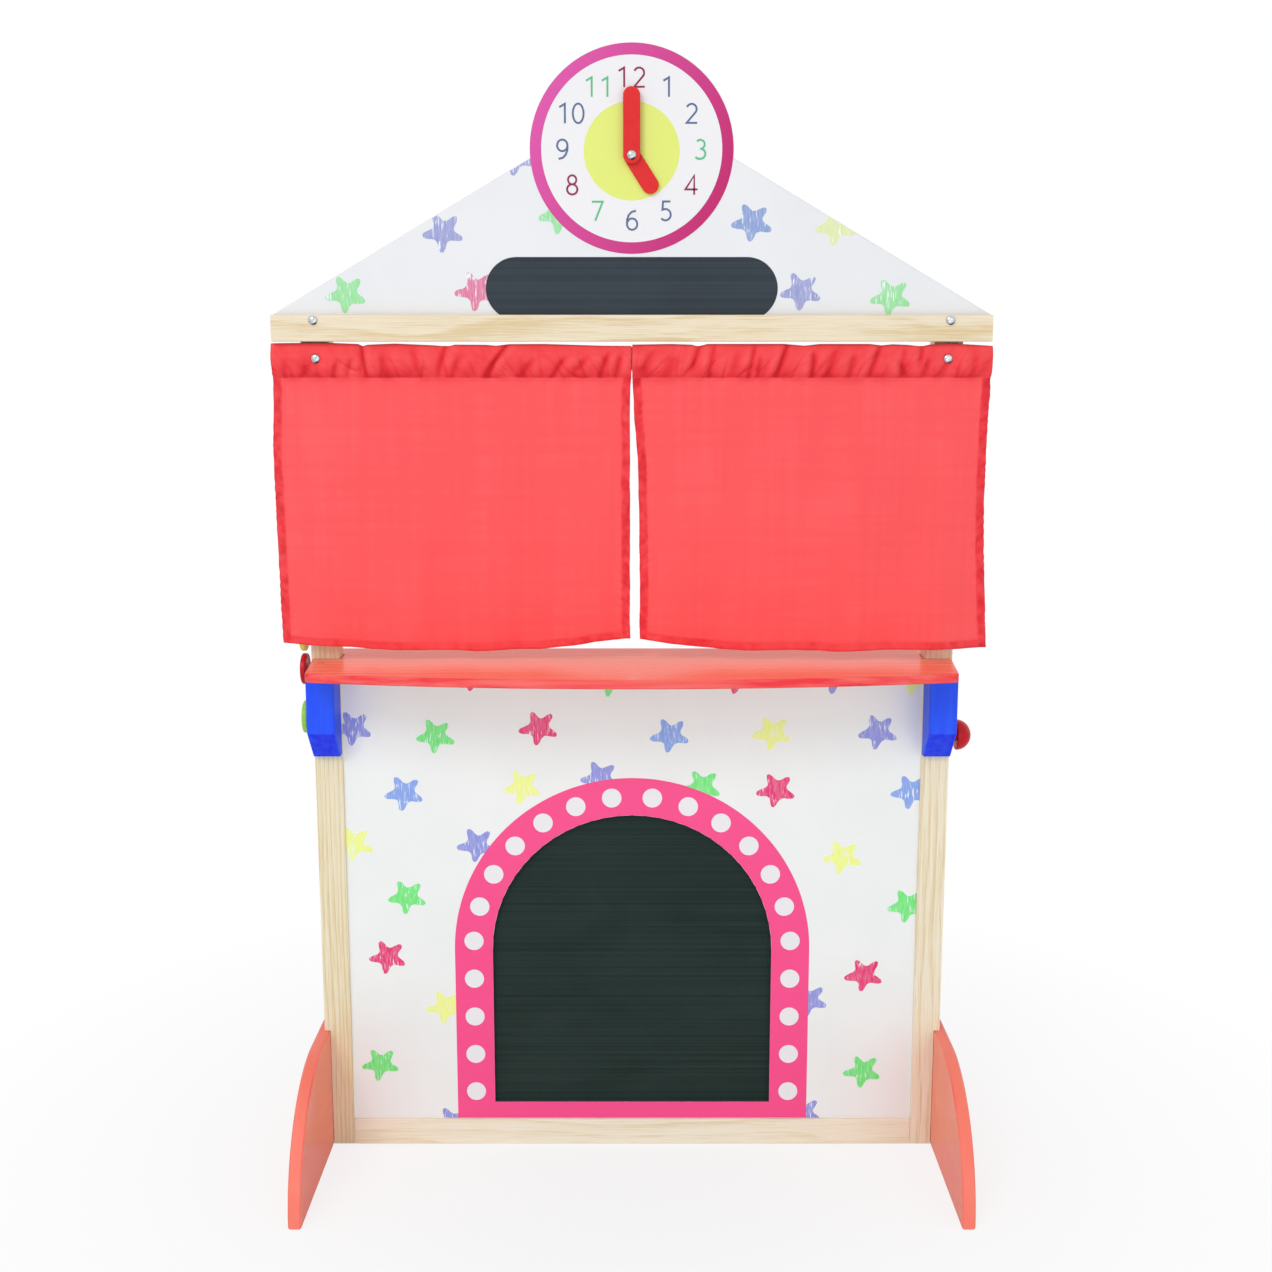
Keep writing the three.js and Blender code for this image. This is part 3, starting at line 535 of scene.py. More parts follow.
@dataclass(frozen=True)
class PlainCotton(Finish):
    """Plain-woven dyed cotton.

    Light that comes through one layer is painted in as a lighter red. Where the cloth is doubled,
    as in the sleeve and the hems, the red is painted deeper for the light that doesn't come through,
    and deeper still as painted shade in the shut part of a crease. The threads are drawn 0.5 mm
    apart, a little coarser than the real 0.4 mm.
    """

    doubled: str
    folded: str = "BE101E"
    thread_mm: float = 0.5
    long_mm: float = 900.0
    slub: float = 0.014
    warp_mm: Triple = (9.0, 30.0, 170.0)
    weft_mm: Triple = (150.0, 30.0, 7.0)
    cloud_mm: Triple = (95.0, 60.0, 120.0)

    def look(self, nodes: Nodes) -> Inputs:
        """Add the weave, slubs, soft sheen, the painted deeper red of doubled cloth and painted
        crease shade.

        Args:
            nodes: The material's nodes.

        Returns:
            The shader's inputs that it sets.
        """
        ply = nodes.add("Attribute", attribute_name="ply").outputs["Fac"]
        warp = nodes.add("TexNoise", nodes.cells(self.warp_mm, Detail=1.0))
        weft = nodes.add("TexNoise", nodes.cells(self.weft_mm, (5, 0, 2), Detail=1.0))
        slubs = nodes.add("Math", {0: warp, 1: weft}, operation="MULTIPLY")
        clouds = nodes.add("TexNoise", nodes.cells(self.cloud_mm, (1, 0, 4)))
        tone = nodes.add("Math", {0: clouds, 1: 0.6, 2: slubs}, operation="MULTIPLY_ADD")

        def slubbed(colour: str) -> Node:
            """A colour with the slubs in it.

            Args:
                colour: A hex colour.

            Returns:
                The node.
            """
            dark = blended(colour, BLACK, 2 * self.slub)
            pale = blended(colour, WHITE, self.slub)
            tones = ((0.35, dark), (0.52, colour), (0.75, pale))
            return nodes.add("ValToRGB", {"Fac": tone}, tones)

        # Painted shade: doubled cloth takes the deeper red, and shut creases the darker crease shade
        layers = {0: ply, 6: slubbed(self.base), 7: slubbed(self.doubled)}
        cloth = nodes.add("Mix", layers, data_type="RGBA")
        shade_amount = nodes.add("MapRange", {"Value": ply, "From Min": 1.0, "From Max": 2.0})
        shaded_cloth = {0: shade_amount, 6: cloth, 7: linear(self.folded)}
        thread, long = self.thread_mm, self.long_mm
        threads = [
            nodes.add("TexWave", nodes.cells(cell, Scale=0.5), bands_direction=axis).outputs["Fac"]
            for axis, cell in (("X", (thread, long, long)), ("Z", (long, long, thread)))
        ]
        weave = nodes.add("Math", dict(enumerate(threads)), operation="MULTIPLY")
        relief = nodes.add("Math", {0: slubs, 1: 3.0, 2: weave}, operation="MULTIPLY_ADD")
        return {
            "Base Color": nodes.add("Mix", shaded_cloth, data_type="RGBA"),
            "Specular IOR Level": 0.15,
            "Sheen Weight": 0.15,
            "Sheen Roughness": 0.5,
            "Normal": nodes.add("Bump", {"Height": relief, "Distance": 0.05 * MM, "Strength": 0.1}),
        }


@dataclass(frozen=True)
class ZincSteel(Finish):
    """Cold-headed steel with bright zinc plating: a soft mirror with fine turned scratches."""

    shadow: str = "2C3034"
    scratch_mm: float = 1.2
    dark_side: Triple = (0.3, -0.52, -0.8)

    def look(self, nodes: Nodes) -> Inputs:
        """Add a metal's mirror, a painted dark reflection on a dome's lower right and fine
        scratches.

        Args:
            nodes: The material's nodes.

        Returns:
            The shader's inputs that it sets.
        """
        # Painted dark reflection: faces that look down, forward and to the right turn dark
        reflected_dark_share = nodes.facing(self.dark_side, (0.8, 0.93))
        colours = {0: reflected_dark_share, 6: linear(self.base), 7: linear(self.shadow)}
        scratch = nodes.add("TexNoise", nodes.cells(cube(self.scratch_mm), Detail=4.0))
        relief = {"Height": scratch, "Distance": 0.02 * MM, "Strength": 0.3}
        return {
            "Base Color": nodes.add("Mix", colours, data_type="RGBA"),
            "Metallic": 1.0,
            "Roughness": self.uneven(nodes, scratch, 0.06, 0.1),
            "Normal": nodes.add("Bump", relief),
        }


PINE_LEFT_POST = SandedPine(
    "sanded_pine_quarter_sawn", "EADBBA", 0.5, Grain.ALONG_Z, 0.4, ring_mm=(4.6, 2600.0),
    wander_mm=(34.0, 330.0), wander=4.2, contrast=0.38, late="DEC899", early="F3E9D0",
)
PINE_RIGHT_POST = SandedPine(
    "sanded_pine_flat_sawn", "EFE1C6", 0.5, Grain.ALONG_Z, 3.3, ring_mm=(8.0, 2600.0),
    wander_mm=(42.0, 330.0), wander=5.0, contrast=0.34, late="E2CCA2", early="F5ECD8",
)
PINE_LEVEL = SandedPine(
    "sanded_pine_level", "F1E4CC", 0.5, Grain.ALONG_X, 1.7, ring_mm=(18.0, 2600.0),
    wander_mm=(70.0, 330.0), wander=4.0, contrast=0.24, late="E8D4B0", early="F6EEDD",
)
PINE_GABLE_RAIL = SandedPine(
    "sanded_pine_broad_figure", "E9D8BA", 0.5, Grain.ALONG_X, 5.2, ring_mm=(26.0, 2600.0),
    wander_mm=(95.0, 330.0), wander=4.5, contrast=0.28, late="DCC296", early="F0E2CA",
)
BIRCH_DOWEL = SandedPine("turned_birch", "E6D4B2", 0.55, Grain.ALONG_X, 2.9)
BOARD = PrintedBoard("white_film_on_board", "E9E7E8", 0.45, "E4E3E5", "E2E4E6")
# The panel's sawn edges, the window's reveal among them, are painted near-black as the shade in the
# window's recess.
PANEL = PrintedBoard("white_film_on_panel", "F2F2EF", 0.45, "EDEEEB", "3C4644")
CHALKBOARD = ChalkboardPaint("rolled_chalkboard_paint", "142420", 0.8)
SIGN = ChalkboardPaint("printed_slate", "2A3138", 0.62, "343C44", (900.0, 50.0, 2.4))
# The top is painted a paler orange as the reflection of the pale things above it; the underside is
# paler so that it throws less red light onto the panel below.
RED_SHELF = GlossLacquer(
    "gloss_lacquer_red", "F23C46", 0.26, level=0.06, streak_mm=(230.0, 7.0, 7.0),
    sides=((Way.UP.value, "FF7A5E"), (Way.DOWN.value, "F0A898")),
)
# The faces that look to either side are painted lighter as the reflection of the bright room in the
# gloss.
RED_FEET = GlossLacquer(
    "gloss_lacquer_coral", "FA7460", 0.15, level=0.45, streak=0.2, streak_mm=(40.0, 160.0, 60.0),
    sides=((Way.RIGHT.value, "FF7860"), (Way.LEFT.value, "FF7860")), edge=0.5,
)
# The chamfer that looks forward and down is painted a deeper blue as the shade it lies in.
BLUE_LACQUER = GlossLacquer(
    "gloss_lacquer_blue", "2450F6", 0.4, "3A6CFA", 0.16, (8.0, 8.0, 90.0),
    sides=(((0, -0.73, -0.68), "062AF2"),),
)
RUBY_LACQUER = GlossLacquer("gloss_lacquer_ruby", "CC0E20", 0.3, "DC2030", 0.22)
YELLOW_LACQUER = GlossLacquer("gloss_lacquer_yellow", "F4EC62", 0.3, "F8F47E")
GREEN_LACQUER = GlossLacquer("gloss_lacquer_green", "A2DA56", 0.3, "B8E86C")
HAND_PAINT = GlossLacquer("satin_paint_red", "DC1E20", 0.4, "E03030", 0.3, cube(12.0))
COTTON = PlainCotton("woven_cotton_red", "FC595B", 0.9, "EC3840")
THREAD = PlainCotton("sewing_thread_red", "F0484C", 0.9, "F0484C")
STEEL = ZincSteel("zinc_plated_steel", "C6CACE", 0.17)
ARCH_PINK = PrintInk("ink_pink", "FC5090", 0.42, "F84A88")
DIAL_PINK = PrintInk("ink_magenta", "DA52A4", 0.42, "BE1462", (243.0, 522.0), 1095.5)
DIAL_WHITE = PrintInk("ink_white", "EFEBEC", 0.42, "EBE8EA")
DIAL_YELLOW = PrintInk("ink_yellow", "E3EB7E", 0.42, "DFE770")


class StarColour(Enum):
    """The crayon colours of the printed stars."""

    GREEN = ScribbleInk("crayon_green", "6AE672")
    BLUE = ScribbleInk("crayon_blue", "80A0E6")
    PURPLE = ScribbleInk("crayon_purple", "8A8EDA")
    CRIMSON = ScribbleInk("crayon_crimson", "E6106C")
    YELLOW = ScribbleInk("crayon_yellow", "F1F788")


class WashedColour(Enum):
    """The paler crayon colours of the stars on the gable."""

    GREEN = ScribbleInk("washed_green", "94DC98")
    BLUE = ScribbleInk("washed_blue", "8499CC")
    PURPLE = ScribbleInk("washed_purple", "9598CC")
    YELLOW = ScribbleInk("washed_yellow", "DEE4A6")
    PINK = ScribbleInk("washed_pink", "DC749A")


class NumeralColour(Enum):
    """The ink colours of the dial's numerals."""

    CRIMSON = PrintInk("numeral_crimson", "962A54", 0.45, "8E244C")
    SLATE = PrintInk("numeral_slate", "5E7092", 0.45, "56688A")
    GREEN = PrintInk("numeral_green", "60C288", 0.45, "58BA80")


# Meshes and outlines, in millimetres


def make_object(
    name: str,
    points: Sequence[Sequence[float]],
    faces: Sequence[Sequence[int]],
    finishes: Sequence[Finish],
    slots: Sequence[int] = (),
    smooth: bool = False,
) -> bpy.types.Object:
    """Make a mesh object from points in millimetres.

    Args:
        name: The object's name.
        points: Points in millimetres.
        faces: Corner numbers of each face.
        finishes: The object's finishes.
        slots: The finish number of each face, or nothing for all the first.
        smooth: Whether faces are shaded smooth.

    Returns:
        The object, linked to the scene.
    """
    mesh = bpy.data.meshes.new(name)
    mesh.from_pydata([tuple(c * MM for c in p) for p in points], [], faces)
    for finish in finishes:
        mesh.materials.append(finish.material())
    if slots:
        mesh.polygons.foreach_set("material_index", slots)
    mesh.polygons.foreach_set("use_smooth", [smooth] * len(mesh.polygons))
    mesh.validate()
    mesh.update()
    made = bpy.data.objects.new(name, mesh)
    bpy.context.scene.collection.objects.link(made)
    return made


def box_mm(node: str) -> tuple[Vector, Vector]:
    """A node's lowest and highest corners in millimetres."""
    low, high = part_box(node)
    return low / MM, high / MM


def clamp(value: float, low: float = 0.0, high: float = 1.0) -> float:
    """Hold a value between two limits."""
    return min(high, max(low, value))


def read(table: Sequence[Point], place: float) -> float:
    """The value of a table of places and values, straight between its rows."""
    return float(np.interp(place, *zip(*table)))


def double_area(loop: Outline) -> float:
    """Twice the area of a loop, positive where it runs counter-clockwise."""
    return sum(a[0] * b[1] - b[0] * a[1] for a, b in zip(loop, loop[1:] + loop[:1]))


def arc(centre: Point, radii: Point, start_deg: float, end_deg: float, steps: int) -> Outline:
    """Points on an arc of an ellipse, ends included.

    Args:
        centre: The arc's centre.
        radii: Its two radii.
        start_deg: Where it starts, counter-clockwise from +X.
        end_deg: Where it ends.
        steps: The number of steps.

    Returns:
        The points.
    """
    turned = np.radians(np.linspace(start_deg, end_deg, steps + 1))
    return [
        (centre[0] + radii[0] * math.cos(t), centre[1] + radii[1] * math.sin(t)) for t in turned
    ]


def circle(centre: Point, radius: float, steps: int) -> Outline:
    """A closed circle without its last point repeated."""
    return arc(centre, (radius, radius), 0, 360, steps)[:-1]


def arch(radius: float, foot: float, spring: float, steps: int = 128) -> Outline:
    """An arch with a level foot and a round head, about X = 0."""
    return [(-radius, foot), (radius, foot)] + arc((0, spring), (radius, radius), 0, 180, steps)


def clip(outline: Outline, edge_point: Point, inward: Point) -> Outline:
    """Keep the part of an outline on the inner side of a line.

    Args:
        outline: A closed outline.
        edge_point: A point on the line.
        inward: A direction that points to the side that is kept.

    Returns:
        The outline that is left, empty if nothing is.
    """

    def depth(p: Point) -> float:
        """How far a point lies on the inner side."""
        return (p[0] - edge_point[0]) * inward[0] + (p[1] - edge_point[1]) * inward[1]

    kept: Outline = []
    for before, here in zip(outline[-1:] + outline[:-1], outline):
        d0, d1 = depth(before), depth(here)
        if (d0 >= 0) != (d1 >= 0):
            kept.append(tuple(a + d0 / (d0 - d1) * (b - a) for a, b in zip(before, here)))
        if d1 >= 0:
            kept.append(here)
    return kept if len(kept) > 2 else []


def keep_outside(outline: Outline, centre: Point, radius: float) -> Outline:
    """Push the points of an outline that lie inside a circle out to its edge.

    Args:
        outline: A closed outline.
        centre: The circle's centre.
        radius: Its radius.

    Returns:
        The outline, clear of the circle.
    """
    moved = []
    for point in outline:
        reach = math.dist(point, centre)
        grow = radius / reach if 0 < reach < radius else 1.0
        moved.append(tuple(c + (p - c) * grow for p, c in zip(point, centre)))
    return moved


def ribbon(line: Outline, width: float) -> list[Outline]:
    """Widen a line into a stroke.

    Args:
        line: The centre line. A line that ends where it starts gives a ring.
        width: The stroke's width.

    Returns:
        One outline, or the outer and the inner edge of a ring.
    """
    closed = math.dist(line[0], line[-1]) < LEAST_MM
    line = line[:-1] if closed else line
    left: Outline = []
    right: Outline = []
    for i, here in enumerate(line):
        before = line[i - 1] if closed or i > 0 else here
        after = line[(i + 1) % len(line)] if closed or i < len(line) - 1 else here
        a = Vector((here[0] - before[0], here[1] - before[1]))
        b = Vector((after[0] - here[0], after[1] - here[1]))
        a = a.normalized() if a.length > 0 else b.normalized()
        b = b.normalized() if b.length > 0 else a
        side = Vector((-(a.y + b.y), a.x + b.x)).normalized()
        mitre = min(2.2, 1 / max(0.2, side.dot(Vector((-b.y, b.x)))))
        reach = width / 2 * mitre
        left.append((here[0] + side.x * reach, here[1] + side.y * reach))
        right.append((here[0] - side.x * reach, here[1] - side.y * reach))
    return [right, left] if closed else [left + right[::-1]]


def lathe(
    profile: Sequence[Point],
    sides: int,
    wobble: Callable[[int, float], float] = lambda ring, angle: 1.0,
    joined: bool = False,
) -> tuple[list[Triple], Faces]:
    """Turn a profile of radius and height about the Z axis.

    Args:
        profile: Radius and height from the lower end to the upper one.
        sides: The number of sides.
        wobble: Gives each ring's radius factor from its number and angle.
        joined: Whether the last ring joins the first.

    Returns:
        The points and the faces of the closed body.
    """
    points: list[Triple] = []
    rings: list[list[int]] = []
    for number, (radius, height) in enumerate(profile):
        start = len(points)
        if radius < LEAST_MM:
            rings.append([start] * sides)
            points.append((0.0, 0.0, height))
            continue
        for side in range(sides):
            angle = 2 * math.pi * side / sides
            reach = radius * wobble(number, angle)
            points.append((reach * math.cos(angle), reach * math.sin(angle), height))
        rings.append(list(range(start, start + sides)))
    faces: Faces = []
    for low, high in zip(rings, rings[1:] + (rings[:1] if joined else [])):
        for i in range(sides):
            j = (i + 1) % sides
            corners = tuple(dict.fromkeys((low[i], low[j], high[j], high[i])))
            if len(corners) > 2:
                faces.append(corners)
    return points, faces


@dataclass
class Film:
    """Thin films of ink on an upright board, gathered into one mesh.

    Attributes:
        name: Name of the piece.
        board_mm: The board's front plane along Y.
        thickness_mm: A film's thickness.
        layer_gap_mm: The gap under each film.
        finishes: The inks in use.
        points: The mesh's points.
        faces: Its faces.
        slots: The ink's number for each face.
    """

    name: str
    board_mm: float
    thickness_mm: float = 0.08
    layer_gap_mm: float = 0.03
    finishes: list[Finish] = field(default_factory=list)
    points: list[Triple] = field(default_factory=list)
    faces: Faces = field(default_factory=list)
    slots: list[int] = field(default_factory=list)

    def lay(self, loops: Sequence[Outline], finish: Finish, layer: int) -> None:
        """Lay one closed plate of ink.

        Args:
            loops: The outline and any holes, in X and Z.
            finish: The ink.
            layer: How many films lie under it.
        """
        if finish not in self.finishes:
            self.finishes.append(finish)
        back = self.board_mm - self.layer_gap_mm - layer * (self.thickness_mm + self.layer_gap_mm)
        flat = [p for loop in loops for p in loop]
        start, count = len(self.points), len(flat)
        self.points += [(x, y, z) for y in (back - self.thickness_mm, back) for x, z in flat]
        faces: Faces = []
        for a, b, c in tessellate_polygon([[Vector((*p, 0)) for p in loop] for loop in loops]):
            area = double_area([flat[a], flat[b], flat[c]])
            if abs(area) < LEAST_MM2:
                continue
            if area < 0:
                b, c = c, b
            faces += [(a, b, c), (count + a, count + c, count + b)]
        offset = 0
        for loop in loops:
            inside_out = (double_area(loop) > 0) != (loop is loops[0])
            for i in range(len(loop)):
                a, b = offset + i, offset + (i + 1) % len(loop)
                if inside_out:
                    a, b = b, a
                faces.append((a, a + count, b + count, b))
            offset += len(loop)
        self.faces += [tuple(start + i for i in face) for face in faces]
        self.slots += [self.finishes.index(finish)] * len(faces)

    def finish(self) -> None:
        """Make the piece, fixed to its white board."""
        made = make_object(self.name, self.points, self.faces, self.finishes, self.slots)
        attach(made, "stand")
        LOG.info("%s", made.name)


# The object's sub-assemblies


@dataclass
class WoodenFrame:
    """The solids that stay as they are, with their finishes; what isn't listed is plated steel."""

    nodes: Mapping[str, bpy.types.Object]
    pieces: Mapping[Finish, tuple[str, ...]] = field(
        default_factory=lambda: {
            PINE_LEFT_POST: ("left_post",),
            PINE_RIGHT_POST: ("right_post",),
            PINE_LEVEL: ("bottom_rail", "top_rail"),
            PINE_GABLE_RAIL: ("gable_rail", "curtain_rail"),
            BIRCH_DOWEL: (
                *(f"{side}_top_rail_dowel" for side in ("left", "right")),
                *(f"{colour}_disc_spacer" for colour in ("yellow", "red", "green")),
            ),
            RED_FEET: ("left_foot", "right_foot"),
            RED_SHELF: ("shelf",),
            BLUE_LACQUER: ("left_shelf_bracket", "right_shelf_bracket"),
            PANEL: ("front_panel",),
            BOARD: ("gable_board",),
            CHALKBOARD: ("chalkboard",),
            HAND_PAINT: ("minute_hand", "hour_hand"),
        }
    )

    def build(self) -> None:
        """Give every solid its finish."""
        finishes = {name: finish for finish, names in self.pieces.items() for name in names}
        for name, node in self.nodes.items():
            node.data.materials.clear()
            node.data.materials.append(finishes.get(name, STEEL).material())
            node.data.polygons.foreach_set("material_index", [0] * len(node.data.polygons))
        LOG.info("dressed %d solids", len(self.nodes))


@dataclass
class TurnedPiece:
    """A turned body made in place of a plain solid.

    Attributes:
        node: The plain solid's node.
        axis: The way that the body's upper end looks.
        finish: Its finish.
        slot: Not used.
        body: The body that it rides on.
        suffix: What its name adds to the node's.
        sides: The number of sides.
        sharp_deg: The least angle between faces that stays a sharp edge.
    """

    node: str
    axis: Way
    finish: Finish = STEEL
    slot: str = "steel"
    body: str = "stand"
    suffix: str = "turned"
    sides: int = 72
    sharp_deg: float = 45.0

    def place(self, mesh: tuple[list[Triple], Faces], foot_mm: float) -> None:
        """Set a turned body on the plain solid's axis.

        Args:
            mesh: Its points, about the Z axis, and its faces.
            foot_mm: Its zero height, measured along the axis from the solid's end behind.
        """
        low, high = box_mm(self.node)
        way = Vector(self.axis.value)
        base = (low + high) / 2
        for i in range(3):
            if way[i]:
                base[i] = (low if way[i] > 0 else high)[i] + way[i] * foot_mm
        turn = Vector(Way.UP.value).rotation_difference(way).to_matrix()
        points = [turn @ Vector(p) + base for p in mesh[0]]
        name = f"{self.node}_{self.suffix}"
        made = make_object(name, points, mesh[1], [self.finish], smooth=True)
        made.data.set_sharp_from_angle(angle=math.radians(self.sharp_deg))
        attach(made, self.body)
        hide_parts(self.node)
        LOG.info("%s", made.name)

    def length(self) -> float:
        """The plain solid's length along the axis, in millimetres."""
        low, high = box_mm(self.node)
        return abs((high - low).dot(Vector(self.axis.value)))


@dataclass
class DomedBolt(TurnedPiece):
    """A round-headed bolt with a hex socket."""

    suffix: str = "domed"
    sides: int = 48
    sharp_deg: float = 40.0
    head_radius_mm: float = 4.8
    head_height_mm: float = 2.6
    head_edge_mm: float = 0.25
    shank_radius_mm: float = 2.45
    shank_chamfer_mm: Point = (0.5, 0.6)
    socket_radius_mm: float = 1.5
    socket_depth_mm: float = 1.2
    socket_edge_mm: float = 0.05
    socket_point_mm: float = 0.3
    crown_steps: int = 9

    def build(self) -> None:
        """Make the bolt from the shank's end to the socket's floor."""
        shank = self.length() - self.head_height_mm
        radius, head, edge = self.shank_radius_mm, self.head_radius_mm, self.head_edge_mm
        shrink, rise = self.shank_chamfer_mm
        profile = [(0.0, -shank), (radius - shrink, -shank), (radius, rise - shank), (radius, 0.0)]
        profile += [(head - edge, 0.0), (head, edge)]
        crown = math.acos(self.socket_radius_mm * 1.25 / head)
        dome = (head, (self.head_height_mm - edge) / math.sin(crown))
        step = math.degrees(crown) / self.crown_steps
        profile += arc((0, edge), dome, step, math.degrees(crown), self.crown_steps - 1)
        socket, top = len(profile), profile[-1][1]
        profile += [
            (self.socket_radius_mm, top - self.socket_edge_mm),
            (self.socket_radius_mm, top - self.socket_depth_mm),
            (0.0, top - self.socket_depth_mm - self.socket_point_mm),
        ]

        def hexagon(ring: int, angle: float) -> float:
            """Six flats in the socket, round elsewhere.

            Args:
                ring: The ring's number.
                angle: The angle round it.

            Returns:
                The factor of its radius.
            """
            sixth = math.pi / 6
            turn = (angle + sixth) % (2 * sixth) - sixth
            return math.cos(sixth) / math.cos(turn) if ring >= socket else 1.0

        self.place(lathe(profile, self.sides, hexagon), shank)


@dataclass
class Disc(TurnedPiece):
    """A small disc with softly rounded rims, on its own body."""

    sides: int = 96
    sharp_deg: float = 50.0
    rim_mm: float = 1.8
    bore_mm: float = 2.85
    bore_chamfer_mm: Point = (0.5, 0.54)
    rim_steps: int = 8

    def build(self) -> None:
        """Make the disc from its bore out over both rims."""
        low, high = box_mm(self.node)
        radius, rim, thickness = (high.z - low.z) / 2, self.rim_mm, self.length()
        shrink, rise = self.bore_chamfer_mm
        profile = [(self.bore_mm, rise), (self.bore_mm + shrink, 0.0)]
        profile += arc((radius - rim, rim), (rim, rim), -90, 0, self.rim_steps)
        profile += [(r, thickness - h) for r, h in reversed(profile)]
        self.place(lathe(profile, self.sides, joined=True), 0.0)


@dataclass
class SideKnob(TurnedPiece):
    """The half-round knob on the right post, with a waisted neck and a tenon."""

    radius_mm: float = 16.8
    rim_mm: float = 1.0
    neck_mm: float = 7.0
    waist_mm: float = 6.4
    neck_length_mm: float = 8.0
    tenon_mm: float = 4.0
    tenon_length_mm: float = 12.3

    def build(self) -> None:
        """Make the knob from the tenon's end to its crown."""
        flat, rim, bowl = self.neck_length_mm, self.rim_mm, self.radius_mm - self.rim_mm
        profile = [(0.0, -self.tenon_length_mm), (self.tenon_mm, -self.tenon_length_mm)]
        profile += [(self.tenon_mm, 0.0), (self.neck_mm, 0.0), (self.waist_mm, flat / 2)]
        profile += [(self.neck_mm, flat), (bowl, flat)]
        profile += arc((bowl, flat + rim), (rim, rim), -60, 0, 2)
        profile += arc((0, flat + rim), (self.radius_mm, bowl), 5, 90, 17)
        self.place(lathe(profile, self.sides), self.tenon_length_mm)


@dataclass
class CrayonStar:
    """A fat five-pointed star with a hand-drawn edge.

    Attributes:
        centre: Its centre.
        seed: The seed of its chances.
        reach_mm: The mean reach of its tips.
        waist_share: The reach of its inner corners as a share of that.
        tips: Each tip's angle in degrees and its reach as a share.
        tip_shape: Angle from the tip's middle and share of its reach, for each point of a tip.
        reach_play: The least and the greatest chance change of a tip's reach.
        waist_play: The same for an inner corner.
        aim_play_deg: The greatest chance turn of a tip or a corner.
        edge_play: The greatest chance change at each point of the edge.
        roundings: How often the corners are cut.
    """

    centre: Point
    seed: int
    reach_mm: float = 20.6
    waist_share: float = 0.47
    tips: tuple[Point, ...] = (
        (190.0, 1.06), (117.0, 0.96), (45.0, 1.0), (-22.0, 1.04), (-98.0, 0.97)
    )
    tip_shape: tuple[Point, ...] = ((9.5, 0.93), (0.0, 1.04), (-9.5, 0.93))
    reach_play: Point = (0.96, 1.03)
    waist_play: Point = (0.92, 1.06)
    aim_play_deg: float = 3.0
    edge_play: float = 0.02
    roundings: int = 3

    def outline(self) -> Outline:
        """The star's outline, with blunt tips and a slightly ragged edge.

        Returns:
            The closed outline.
        """
        chance = random.Random(self.seed)
        play = self.aim_play_deg
        corners: Outline = []

        def add(reach: float, angle_deg: float) -> None:
            """Add a corner."""
            t = math.radians(angle_deg)
            corners.append((reach * math.cos(t), reach * math.sin(t)))

        following = self.tips[1:] + ((self.tips[0][0] - 360, 0.0),)
        for (tip, share), (after, _) in zip(self.tips, following):
            reach = self.reach_mm * share * chance.uniform(*self.reach_play)
            aim = tip + chance.uniform(-play, play)
            for turn, part in self.tip_shape:
                add(part * reach, aim + turn)
            aim = (tip + after) / 2 + chance.uniform(-play, play)
            add(self.reach_mm * self.waist_share * chance.uniform(*self.waist_play), aim)
        for _ in range(self.roundings):
            corners = [
                (near * x + (1 - near) * next_x, near * z + (1 - near) * next_z)
                for (x, z), (next_x, next_z) in zip(corners, corners[1:] + corners[:1])
                for near in (0.75, 0.25)
            ]
        ragged = []
        for x, z in corners:
            grow = 1 + chance.uniform(-self.edge_play, self.edge_play)
            ragged.append((self.centre[0] + x * grow, self.centre[1] + z * grow))
        return ragged[::-1]


def lay_stars(
    film: Film,
    stars: Sequence[tuple[Enum, float, float]],
    first_seed: int,
    edges: Sequence[tuple[Point, Point]],
    window: tuple[Point, float] | None = None,
) -> None:
    """Lay stars on a board, cut off at its edges.

    Args:
        film: The film that gets them.
        stars: Each star's colour and its centre.
        first_seed: The seed of the first star; each next one has one more.
        edges: A point on each edge and the way from it into the board.
        window: Centre and radius of a round that the stars stay out of.
    """
    for number, (colour, x, z) in enumerate(stars):
        outline = CrayonStar((x, z), first_seed + number).outline()
        for edge_point, inward in edges:
            outline = clip(outline, edge_point, inward)
        if outline:
            film.lay([keep_outside(outline, *window) if window else outline], colour.value, 0)


NUMERAL_TAIL: Outline = [(0.07, 0.34), (0.08, 0.55), (0.16, 0.76), (0.3, 0.91), (0.52, 0.97)]
# Each digit's width, and then its centre lines in a box of height 1
DIGITS: Mapping[str, tuple[float, tuple[Outline, ...]]] = {
    "0": (0.64, (arc((0.32, 0.5), (0.27, 0.47), 0, 360, 40),)),
    "1": (0.34, ([(0.02, 0.8), (0.3, 0.96), (0.3, 0.02)],)),
    "2": (0.6, (arc((0.3, 0.71), (0.25, 0.25), 158, -34, 18) + [(0.05, 0.04), (0.58, 0.04)],)),
    "3": (
        0.56,
        (
            arc((0.26, 0.74), (0.22, 0.22), 140, -88, 18),
            arc((0.24, 0.28), (0.28, 0.25), 88, -142, 18),
        ),
    ),
    "4": (0.66, ([(0.48, 0.02), (0.48, 0.96), (0.03, 0.28), (0.65, 0.28)],)),
    "5": (
        0.56,
        (
            [(0.5, 0.96), (0.13, 0.96), (0.1, 0.55)]
            + arc((0.25, 0.31), (0.27, 0.28), 116, -140, 20),
        ),
    ),
    "6": (0.62, (arc((0.33, 0.31), (0.26, 0.28), 0, 360, 32), NUMERAL_TAIL)),
    "7": (0.62, ([(0.03, 0.95), (0.58, 0.95), (0.2, 0.02)],)),
    "8": (
        0.6,
        (
            arc((0.3, 0.75), (0.21, 0.22), 0, 360, 30),
            arc((0.3, 0.28), (0.26, 0.25), 0, 360, 32),
        ),
    ),
    "9": (
        0.62,
        (
            arc((0.29, 0.69), (0.26, 0.28), 0, 360, 32),
            [(0.62 - x, 1.0 - z) for x, z in NUMERAL_TAIL],
        ),
    ),
}
# The room before a second digit, as a share of the height
SECOND_DIGIT_GAP = {"0": 0.31, "1": 0.45, "2": 0.41}


